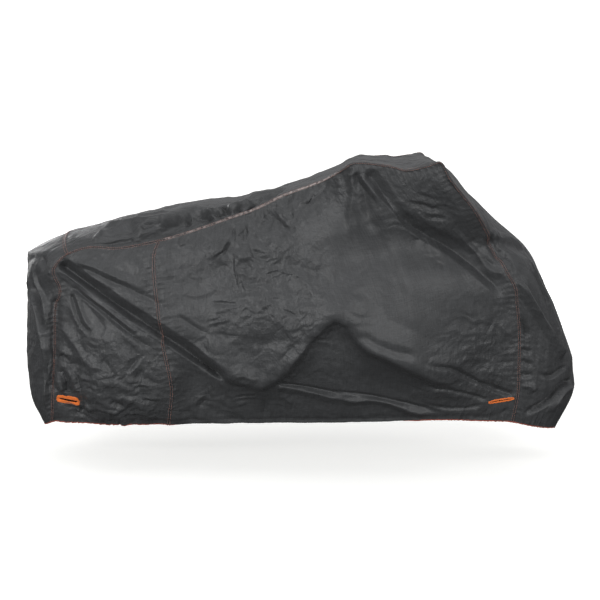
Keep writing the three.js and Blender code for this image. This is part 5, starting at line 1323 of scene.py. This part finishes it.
@dataclass
class LockSlot:
    """A lock slot, bound with tape: its centre, its size over the tape, the tape's width and the tilt."""

    end: str
    x: float
    z: float
    length: float
    height: float
    tape: float
    tilt: float
    bluntness: float = 0.78
    proud: float = 1.3
    around: int = 72

    def outline(self, grown: float, count: int) -> Array:
        """Draws the slot's outline in side view.

        Args:
            grown: How much wider than over the tape, on each side.
            count: How many points.

        Returns:
            The points, as x and z.
        """
        a, b = self.length / 2 + grown, self.height / 2 + grown
        c, d = a * self.bluntness, b * self.bluntness
        corners = np.array([(-a, 0), (-a, d), (-c, b), (0, b)])
        quarters = [corners, corners[::-1] * (-1, 1), corners * (-1, -1), corners[::-1] * (1, -1)]
        t = np.linspace(0, 1, count // 4 + 1)[:-1, None]
        ring = np.concatenate([
            q[0] * (1 - t) ** 3 + 3 * q[1] * t * (1 - t) ** 2 + 3 * q[2] * t**2 * (1 - t) + q[3] * t**3
            for q in quarters
        ])
        turn = math.radians(self.tilt)
        return ring @ np.array([[math.cos(turn), math.sin(turn)], [-math.sin(turn), math.cos(turn)]]) + (self.x, self.z)

    def on_cloth(self, spots: Array, tree: BVHTree, side: int) -> tuple[Array, Array]:
        """Finds where places in side view lie on a side's cloth.

        Args:
            spots: The places, as x and z.
            tree: The cloth's faces.
            side: -1 for the near side and 1 for the far side.

        Returns:
            The points on the cloth and their outward normals.
        """
        points, normals = [], []
        for x, z in spots.reshape(-1, 2):
            hit, normal, _, _ = tree.ray_cast(Vector((x, side * 600, z)), Vector((0, -side, 0)))
            points.append(hit)
            normals.append(normal if normal.y * side > 0 else -normal)
        return np.array(points).reshape(*spots.shape[:-1], 3), np.array(normals).reshape(*spots.shape[:-1], 3)

    def tape_piece(self, name: str, tree: BVHTree, side: int, material: bpy.types.Material) -> bpy.types.Object:
        """Makes the tape, folded over the slot's edge.

        Args:
            name: The piece's name.
            tree: The cloth's faces.
            side: -1 for the near side and 1 for the far side.
            material: Its finish.

        Returns:
            The piece.
        """
        across, step_round = np.linspace(0, 1, 9), 4.0
        rings = np.stack([self.outline(-w * self.tape, self.around) for w in across], axis=1)
        points, normals = self.on_cloth(rings, tree, side)
        normals = normals.mean(axis=1, keepdims=True)
        normals = normals / np.linalg.norm(normals, axis=-1, keepdims=True)
        crown = self.proud * (1 - abs(2 * across - 1) ** 5)[None, :, None]
        outside = points + normals * crown
        inside = (points - normals * (crown + 0.5))[:, ::-1]
        ring = np.concatenate([outside, inside, outside[:, :1]], axis=1)
        flat = np.stack(np.broadcast_arrays(
            np.arange(self.around)[:, None] * step_round, np.arange(ring.shape[1])[None] * self.tape / 8), axis=-1)
        faces = quads(self.around, ring.shape[1], 1 if side > 0 else -1, closed=True)
        return make_piece(name, ring, faces, flat, material)


LOCK_SLOTS = (
    LockSlot("rear", x=-913, z=272, length=106, height=38, tape=15.5, tilt=-7),
    LockSlot("main", x=800, z=262, length=108, height=16, tape=6.5, tilt=7),
)


@dataclass
class Finishes:
    """The cover's materials."""

    cloth: bpy.types.Material
    seam_thread: bpy.types.Material
    edging: bpy.types.Material
    tape: bpy.types.Material


@dataclass
class ClothPanel:
    """A cloth panel with its stitching, its hem's edging and, on a side, its lock slot."""

    # Spacing, height, reach, start, full and seed step of the wrinkles at a seam and at the gathered hem
    SEAM_PUCKERS = ((23, 2.4, 34, 1.5, 10, 0), (9, 0.8, 13, 1.5, 6, 5))
    HEM_GATHERS = ((15, 2.6, 34, -30, 0, 50), (31, 2.6, 60, -30, 10, 55))
    WORN_AT, WORN_REACH = -190, (330, 420)  # where along the cover the long seam's edge gets its pale painted highlight
    MOST_CRUMPLED = 1.2  # what the finish reads as fully crumpled
    ROLL = 7.5  # how far the middle of the hem rolls its edging inside
    ROLL_BEGINS, ROLL_ENDS = (-580, -330), (330, 480)  # where along the cover it does
    ABOVE_HEM = 195  # faces below this height stay when a slot is cut

    name: str
    grid: ClothGrid
    sewn: tuple[Edge, ...]
    hem: Edge
    view: tuple[int, int]
    seed: int
    gathered: Callable[[Array], Array]
    slot: LockSlot | None = None
    side: int = 0
    stitch_inset: float = 6.0
    seam_ridge: float = 3.0
    strip_crumple: float = 0.6
    clear: float = 100.0  # far enough from a seam to get no painted highlight
    turned: TurnedHem = field(default_factory=TurnedHem)

    def ruffle(self) -> None:
        """Adds the seams' ridges and puckers, the hem's gathers and the small crumples."""
        grid = self.grid
        sewn = {edge: (grid.away(edge), grid.along(edge)) for edge in self.sewn}
        nearest = np.minimum.reduce([away for away, _ in sewn.values()])
        calm = ease(nearest, 1.5, 16)
        crumple = crumpled(grid.points[..., 0], grid.points[..., 2]) if self.side else self.strip_crumple
        lift = crumple_lift(grid, self.view, self.seed) * calm * crumple
        for k, (edge, (away, along)) in enumerate(sewn.items()):
            others = [a for other, (a, _) in sewn.items() if other is not edge]
            free = ease(np.minimum.reduce(others), 4, 26) if others else 1
            for *sizes, step in self.SEAM_PUCKERS:
                lift = lift + free * Puckers(*sizes, self.seed + 10 * k + step).lift(away, along)
            lift = lift + self.seam_ridge * (1 - ease(away, 2, 10.5)) * ease(nearest, 0, 2)
        away, along = grid.away(self.hem), grid.along(self.hem)
        strength = self.gathered(grid.points[..., 0]) * ease(nearest, 2, 24)
        gathers = sum(Puckers(*sizes, self.seed + step).lift(away, along) for *sizes, step in self.HEM_GATHERS)
        self.grid = grid.lifted(lift + strength * gathers)

    def flat_places(self, rows_below: int) -> Array:
        """Gives each point's place on the flat cloth, with that of the rows that the hem turns in."""
        grid, row_step = self.grid, 2.5
        away = grid.from_edge(grid.away(self.hem), self.hem)
        below = -np.broadcast_to(np.arange(rows_below, 0, -1) * row_step, (len(away), rows_below))
        up = np.concatenate([below, away], axis=1)
        along = np.broadcast_to(grid.from_edge(grid.along(self.hem), self.hem)[:, :1], up.shape)
        return np.stack([along, up], axis=-1)

    def build(self, finishes: Finishes) -> list[bpy.types.Object]:
        """Makes the panel's pieces.

        Args:
            finishes: The cover's materials.

        Returns:
            The cloth first, and then what is sewn to it.
        """
        self.ruffle()
        grid = self.grid
        turned = self.turned.turned_rows(grid, self.hem)[:, ::-1]
        points = np.concatenate([turned, grid.from_edge(grid.points, self.hem)], axis=1)
        flat = self.flat_places(turned.shape[1])
        turn = 1 if self.hem in (Edge.LOW, Edge.END) else -1
        faces = quads(points.shape[0], points.shape[1], turn * grid.facing)
        points, flat = points.reshape(-1, 3), flat.reshape(-1, 2)
        pieces = []
        if self.slot:
            tree = BVHTree.FromPolygons([Vector(p) for p in points], faces.tolist())
            points, flat, faces = self.cut_slot(points, flat, faces, tree)
            name = f"{self.name.split('_')[0]}_{self.slot.end}_slot_binding"
            pieces.append(self.slot.tape_piece(name, tree, self.side, finishes.tape))
        crumple = crumpled(points[:, 0], points[:, 2]) if self.side else np.ones(len(points))
        # the long seam's edge over the seat and tank gets a pale painted highlight, which the finish reads from the
        # seam value
        highlit_edge = Edge.HIGH if self.side else Edge.LOW
        drawn = (1 - ease(abs(grid.points[..., 0] - self.WORN_AT), *self.WORN_REACH)) * (highlit_edge in self.sewn)
        seam = np.minimum(grid.away(highlit_edge), grid.away(Edge.HIGH)) + self.clear * (1 - drawn)
        seam = np.concatenate([np.full(turned.shape[:2], self.clear), grid.from_edge(seam, self.hem)], axis=1).ravel()
        seam = np.append(seam, np.full(len(points) - len(seam), self.clear))
        values = {"crumple": np.minimum(crumple, self.MOST_CRUMPLED), "seam": seam}
        cloth = make_piece(f"{self.name}_cloth", points, faces, flat, finishes.cloth, values)
        stitching = Stitching()
        for edge in self.sewn:
            stitching.add_row(*grid.line_in(edge, self.stitch_inset))
        rows = stitching.make(f"{self.name}_seam_stitches", finishes.seam_thread)
        x = grid.from_edge(grid.points, self.hem)[:, 0, 0]
        rolled = self.ROLL * ease(x, *self.ROLL_BEGINS) * (1 - ease(x, *self.ROLL_ENDS))
        edging = self.turned.edging_piece(f"{self.name}_hem_edging", grid, self.hem, rolled, finishes.edging)
        return [cloth, rows, edging, *pieces]

    def cut_slot(self, points: Array, flat: Array, faces: Array, tree: BVHTree) -> tuple[Array, Array, Array]:
        """Cuts the slot out of the cloth, with a clean edge that lies under its tape.

        Args:
            points: The cloth's points.
            flat: Their places on the flat cloth.
            faces: Its faces.
            tree: Its faces, for finding places on it.

        Returns:
            The points, flat places and faces of the cut cloth.
        """
        slot = self.slot
        ring = slot.outline(-slot.tape / 2, 64)
        room = slot.outline(5, 64)
        low, high = room.min(0), room.max(0)
        spots = points[:, [0, 2]]
        outside = points[:, 1] * self.side > 0
        near = outside & (spots > low).all(axis=1) & (spots < high).all(axis=1)
        gone = (near & (points[:, 2] > self.ABOVE_HEM))[faces].any(axis=1)
        removed, kept = faces[gone], faces[~gone]
        sides = {}
        for face in removed:
            for a, b in zip(face, np.roll(face, -1)):
                if (b, a) in sides:
                    del sides[(b, a)]
                else:
                    sides[(a, b)] = True
        border = sorted({int(v) for side in sides for v in side})
        index = {v: i for i, v in enumerate(border)}
        on_ring, _ = slot.on_cloth(ring, tree, self.side)
        flat_points = [Vector(spots[v]) for v in border] + [Vector(p) for p in ring]
        count = len(border)
        edges = [(index[int(a)], index[int(b)]) for a, b in sides]
        edges += [(count + k, count + (k + 1) % len(ring)) for k in range(len(ring))]
        places, _, patch, origin, _, _ = delaunay_2d_cdt(flat_points, edges, [], 2, 1e-4)
        middles = [np.mean([places[v] for v in face], axis=0) for face in patch]
        number = [border[k] if k < count else len(points) + k - count for k, *_ in origin]
        new_faces = [[number[v] for v in face] for face, spot in zip(patch, middles) if not self.in_ring(spot, ring)]
        wound = new_faces if self.side < 0 else [face[::-1] for face in new_faces]
        far_off = 1e9
        nearest = [int(np.argmin(((spots - p) ** 2).sum(1) + far_off * ~outside)) for p in ring]
        return np.concatenate([points, on_ring]), np.concatenate([flat, flat[nearest]]), [*map(list, kept), *wound]

    @staticmethod
    def in_ring(spot: Array, ring: Array) -> bool:
        """Tells whether a place lies within a ring."""
        a, b = ring, np.roll(ring, -1, axis=0)
        crosses = (a[:, 1] > spot[1]) != (b[:, 1] > spot[1])
        with np.errstate(divide="ignore", invalid="ignore"):
            at = a[:, 0] + (spot[1] - a[:, 1]) * (b[:, 0] - a[:, 0]) / (b[:, 1] - a[:, 1])
        return bool((crosses & (spot[0] < at)).sum() % 2)


@dataclass
class CoverSides:
    """The near and far sides: their rear and main panels."""

    shape: CoverShape
    near_rows: int = 244
    far_rows: int = 190
    near_columns: tuple[int, int] = (126, 356)
    far_columns: tuple[int, int] = (96, 300)
    fold_margin: float = 30.0
    faceted: float = 0.8
    evenness: float = 0.55  # how much the columns keep to even spacing rather than crowd where the cloth is crumpled
    # Length of each panel along the cover and where it starts
    SPANS = {"rear": (440, -960), "main": (1420, -550)}

    def grid(self, end: str, side: int) -> ClothGrid:
        """Makes a side panel's grid with its main folds.

        Args:
            end: rear or main.
            side: -1 for the near side and 1 for the far side.

        Returns:
            The grid.
        """
        counts, rows = (self.near_columns, self.near_rows) if side < 0 else (self.far_columns, self.far_rows)
        columns, (width, start) = counts[0] if end == "rear" else counts[1], self.SPANS[end]
        fine = np.linspace(SEWN_LINES[-1], width - SEWN_LINES[-1], 600)
        density = self.evenness + crumpled(fine[:, None] + start, np.linspace(300, 1000, 8)).mean(axis=1)
        gone = np.concatenate([[0], np.cumsum((density[1:] + density[:-1]) / 2)])
        middle = np.interp(np.linspace(0, 1, columns), gone / gone[-1], fine)[1:-1]
        along = np.concatenate([SEWN_LINES, middle, width - SEWN_LINES[::-1]]) / width
        u, v = np.meshgrid(along, np.linspace(0, 1, 420), indexing="ij")
        seam = np.interp(v, self.shape.shares, self.shape.side_seam_shares)
        u = u * seam if end == "rear" else seam + (1 - seam) * u
        points = self.shape.side(u, v)
        points = ClothGrid.spread(points, rows, HEM_LINES, SEWN_LINES)
        margin = self.margin(points, end)
        drawn = NEAR_FOLDS + creases(NEAR_CREASES) if side < 0 else FAR_FOLDS + creases(NEAR_CREASES, 0.95, 30, 0.8)
        lift = sum(fold.lift(points[..., 0], points[..., 2], self.faceted) for fold in drawn)
        points[..., 1] -= lift * margin
        if side > 0:
            points[..., 1] *= -1
        return ClothGrid(pulled(points), -side)

    def margin(self, points: Array, end: str) -> Array:
        """Gives how far the folds count at each point: they die out close to the centre strip's seams."""
        bare = ClothGrid(points, 1)
        edges = [Edge.HIGH, Edge.START if end == "rear" else Edge.END]
        return ease(np.minimum.reduce([bare.away(edge) for edge in edges]), 0, self.fold_margin)


@dataclass
class CentreStrip:
    """The centre strip: its tail and centre panels."""

    shape: CoverShape
    across: int = 150
    tail_rows: int = 150
    tail_length: float = 750.0
    centre_rows: int = 560
    centre_length: float = 3050.0
    laid_out: int = 500  # points across the strip before they are spread evenly
    fold_margin: float = 22.0
    lean: float = 0.45
    far_shift: float = 55.0  # the far half has the near half's folds, moved along and lower
    far_share: float = 0.3
    faceted: float = 0.9

    def grid(self, end: str) -> ClothGrid:
        """Makes a strip panel's grid with its main folds.

        Args:
            end: tail or centre.

        Returns:
            The grid.
        """
        tail, centre = (self.tail_rows, self.tail_length), (self.centre_rows, self.centre_length)
        rows, length = tail if end == "tail" else centre
        low, high = (HEM_LINES, SEWN_LINES) if end == "tail" else (SEWN_LINES, HEM_LINES)
        middle = np.linspace(low[-1], length - high[-1], rows)[1:-1]
        share = np.concatenate([low, middle, length - high[::-1]]) / length
        station = self.shape.tail_station(share) if end == "tail" else self.shape.long_station(share)
        s, a = np.meshgrid(station, np.linspace(-1, 1, self.laid_out), indexing="ij")
        dense = np.concatenate([self.shape.strip(s, a), a[..., None]], axis=-1)
        spread = ClothGrid.spread(dense, self.across, SEWN_LINES, SEWN_LINES, self.lean)
        grid = ClothGrid(spread[..., :3], 1)
        normals = grid.normals()
        lift = np.zeros(spread.shape[:2])
        slanted = {View.SLOPE, View.NEAR_NOSE, View.NEAR_TAIL}
        for mirror, shift, share in ((1, 0, 1.0), (-1, self.far_shift, self.far_share)):
            points, turned = grid.points * (1, mirror, 1) + (shift, 0, 0), normals * (1, mirror, 1)
            for fold in STRIP_FOLDS:
                if mirror < 0 and fold.view not in slanted:
                    continue
                toward, first, second = (np.array(axis, float) for axis in fold.view.value)
                facing = np.clip(turned @ toward, 0, None)
                lift += share * fold.lift(points @ first, points @ second, self.faceted) * facing
        edge = np.minimum(grid.away(Edge.LOW), grid.away(Edge.HIGH))
        lifted = grid.lifted(lift * ease(edge, 0, self.fold_margin))
        return ClothGrid(pulled(lifted.points), 1)


@dataclass
class Cover:
    """The whole cover."""

    finishes: Finishes
    shape: CoverShape = field(default_factory=CoverShape)

    # Each panel's cut cloth, estimated from the model with room for hem, seams and slack: its greatest width and
    # length in metres, and its area in square metres
    FLAT = {
        "tail_panel": (0.66, 0.83, 0.473),
        "centre_panel": (0.86, 3.16, 1.739),
        "side_main_panel": (1.5, 1.2, 1.35),
        "side_rear_panel": (0.5, 0.8, 0.33),
    }

    @staticmethod
    def end_gather(x: Array) -> Array:
        """Gives how strongly the hem is gathered along the cover: most at its two ends."""
        return 0.3 + 0.7 * (1 - ease(x, -760, -560)) + 0.7 * ease(x, 380, 620)

    def panels(self) -> list[ClothPanel]:
        """Lays out the six panels."""
        sides, strip = CoverSides(self.shape), CentreStrip(self.shape)
        gather = self.end_gather
        around = (Edge.START, Edge.END, Edge.HIGH)
        made = [
            ClothPanel(f"{end}_panel", strip.grid(end), (Edge.LOW, Edge.HIGH, sewn), hem, view, seed, gather)
            for end, sewn, hem, view, seed in (
                ("tail", Edge.END, Edge.START, (1, 2), 11), ("centre", Edge.START, Edge.END, (0, 1), 23))
        ]
        for label, side in (("right", -1), ("left", 1)):
            for k, slot in enumerate(LOCK_SLOTS):
                made.append(ClothPanel(
                    f"{label}_{slot.end}_side_panel", sides.grid(slot.end, side), around, Edge.LOW, (0, 2),
                    37 + 10 * k + 100 * (side + 1), gather, slot=slot, side=side,
                ))
        return made

    def build(self) -> None:
        for panel in self.panels():
            cloth, *trim = panel.build(self.finishes)
            for piece in (cloth, *trim):
                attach(piece, "root")
            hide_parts(panel.name)
            for piece in trim:
                if "binding" in piece.name:
                    end = "front" if panel.slot.end == "main" else "rear"
                    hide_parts(f"{panel.name.split('_')[0]}_{end}_lock_slot_tape")
            log.info("%s: %d faces and %d pieces of trim", cloth.name, len(cloth.data.polygons), len(trim))


class SoftBox(NamedTuple):
    """A soft box: its place, what it points at, its size, its power and whether it shows in reflections."""

    name: str
    place: tuple[float, float, float]
    aim: tuple[float, float, float]
    size: tuple[float, float]
    power: float
    reflected: bool = True


SOFT_BOXES = (
    SoftBox("left_softbox", (-3.6, -5.1, 1.0), (0, 0, -0.45), (3.0, 2.0), 205),
    SoftBox("right_softbox", (3.4, -5.2, 0.9), (0, 0, -0.45), (3.0, 2.0), 150),
    SoftBox("top_softbox", (0, -0.6, 3.6), (0, 0, -0.5), (3.0, 2.0), 24),
    SoftBox("back_softbox", (0, 1.3, 3.4), (0, 0, -0.2), (3.4, 1.6), 14),
    SoftBox("far_left_softbox", (-3.5, 4.9, 0.5), (0, 0, -0.45), (3.0, 2.0), 100),
    # the nose's slope would glare in this one's reflection
    SoftBox("far_right_softbox", (3.5, 4.9, 0.5), (0, 0, -0.45), (3.0, 2.0), 110, reflected=False),
)


@dataclass
class Studio:
    """The pale floor, the soft light and the camera."""

    ground: float = -HELD_UP_AT / 1000
    camera_distance: float = 5.5
    camera_height: float = 1.441
    camera_pitch: float = 8.3
    lens: float = 82.02
    floor_radius: float = 8.0
    backdrop_bend: float = 2.5
    backdrop_top: float = 6.0
    floor_sides: int = 96

    def floor(self) -> None:
        """Makes a round pale floor that curves up into a backdrop on every side."""
        bend = np.linspace(0, math.pi / 2, 12)
        wall = self.floor_radius + self.backdrop_bend
        reach = [0.01, 1.5, 4.0, *(self.floor_radius + self.backdrop_bend * np.sin(bend)), wall]
        rise = [0.0, 0.0, 0.0, *(self.backdrop_bend * (1 - np.cos(bend))), self.backdrop_top]
        turns = np.linspace(0, 2 * math.pi, self.floor_sides, endpoint=False)
        points = [(r * math.cos(t), r * math.sin(t), self.ground + z) for r, z in zip(reach, rise) for t in turns]
        sides = self.floor_sides
        faces = [tuple(range(sides))]
        for ring in range(len(reach) - 1):
            for k in range(sides):
                inner, outer, step = ring * sides, (ring + 1) * sides, (k + 1) % sides
                faces.append((inner + k, outer + k, outer + step, inner + step))
        mesh = bpy.data.meshes.new("studio_floor")
        mesh.from_pydata(points, [], faces)
        mesh.polygons.foreach_set("use_smooth", np.ones(len(faces), bool))
        material, tree, surface = new_material("matt_painted_floor")
        place = add_node(tree, "ShaderNodeNewGeometry").outputs["Position"]
        flat = add_node(tree, "ShaderNodeVectorMath", {0: place, 1: (1, 1, 0)}, operation="MULTIPLY").outputs[0]
        away = add_node(tree, "ShaderNodeVectorMath", {0: flat}, operation="LENGTH").outputs["Value"]
        # the far floor and the backdrop stand beyond the soft boxes' reach, so they glow more than the near floor
        glow = add_node(tree, "ShaderNodeMapRange",
                        {"Value": away, "From Min": 2.5, "From Max": 8.0, "To Min": 0.5, "To Max": 1.0}).outputs[0]
        grain = add_node(tree, "ShaderNodeTexNoise", {"Scale": 3.0, "Detail": 3.0}).outputs["Fac"]
        tone = add_node(tree, "ShaderNodeMix", {"Factor": grain, 6: linear("#ececea"), 7: linear("#f3f3f1")},
                        data_type="RGBA").outputs[2]
        shader = add_node(tree, "ShaderNodeBsdfPrincipled",
                          {"Base Color": tone, "Roughness": 0.9, "Emission Color": tone, "Emission Strength": glow})
        tree.links.new(shader.outputs[0], surface)
        mesh.materials.append(material)
        floor = bpy.data.objects.new("studio_floor", mesh)
        bpy.context.scene.collection.objects.link(floor)
        floor.visible_diffuse = False
        floor.visible_glossy = False
        floor.visible_shadow = False

    def light(self) -> None:
        """Lights the cover from a broad soft sky and the soft boxes."""
        world = bpy.data.worlds.new("soft_sky")
        bpy.context.scene.world = world
        world.use_nodes = True
        tree = world.node_tree
        way = add_node(tree, "ShaderNodeTexCoord").outputs["Generated"]
        height = add_node(tree, "ShaderNodeSeparateXYZ", {0: way}).outputs["Z"]
        sky = add_node(tree, "ShaderNodeMapRange",
                       {"Value": height, "From Min": -0.15, "From Max": 0.35, "To Min": 0.05, "To Max": 0.5})
        background = tree.nodes["Background"]
        background.inputs["Color"].default_value = linear("#f6f6f8")
        tree.links.new(sky.outputs[0], background.inputs["Strength"])
        for box in SOFT_BOXES:
            lamp = bpy.data.lights.new(box.name, "AREA")
            lamp.shape = "RECTANGLE"
            lamp.size, lamp.size_y = box.size
            lamp.energy = box.power
            holder = bpy.data.objects.new(box.name, lamp)
            holder.visible_camera = False
            holder.visible_glossy = box.reflected
            holder.location = box.place
            holder.rotation_euler = (Vector(box.aim) - Vector(box.place)).to_track_quat("-Z", "Y").to_euler()
            bpy.context.scene.collection.objects.link(holder)

    def camera(self) -> None:
        """Sets the camera at the photograph's angle and distance."""
        data = bpy.data.cameras.new("camera")
        data.lens, data.sensor_width = self.lens, 36.0
        camera = bpy.data.objects.new("camera", data)
        camera.location = (0.0, -self.camera_distance, self.ground + self.camera_height)
        camera.rotation_euler = (math.radians(90 - self.camera_pitch), 0.0, 0.0)
        bpy.context.scene.collection.objects.link(camera)
        bpy.context.scene.camera = camera

    def build(self) -> None:
        """Makes all of the studio."""
        self.camera()
        self.floor()
        self.light()
        bpy.context.scene.view_settings.view_transform = "Standard"


def main() -> None:
    """Builds the studio and the cover."""
    logging.basicConfig(level=logging.INFO, format="%(name)s: %(message)s")
    Studio().build()
    finishes = Finishes(
        cloth=CoatedPolyester().material(),
        seam_thread=TwistedThread("twisted_polyester_seam_thread", "#b0796a", "#6f4d44").material(),
        edging=TwistedThread("woven_polyester_edging", "#b0513a", "#7d3728").material(),
        tape=TwistedThread("woven_polyester_tape", "#ee7c2a", "#d8661c").material(),
    )
    Cover(finishes).build()


if __name__ == "__main__":
    main()
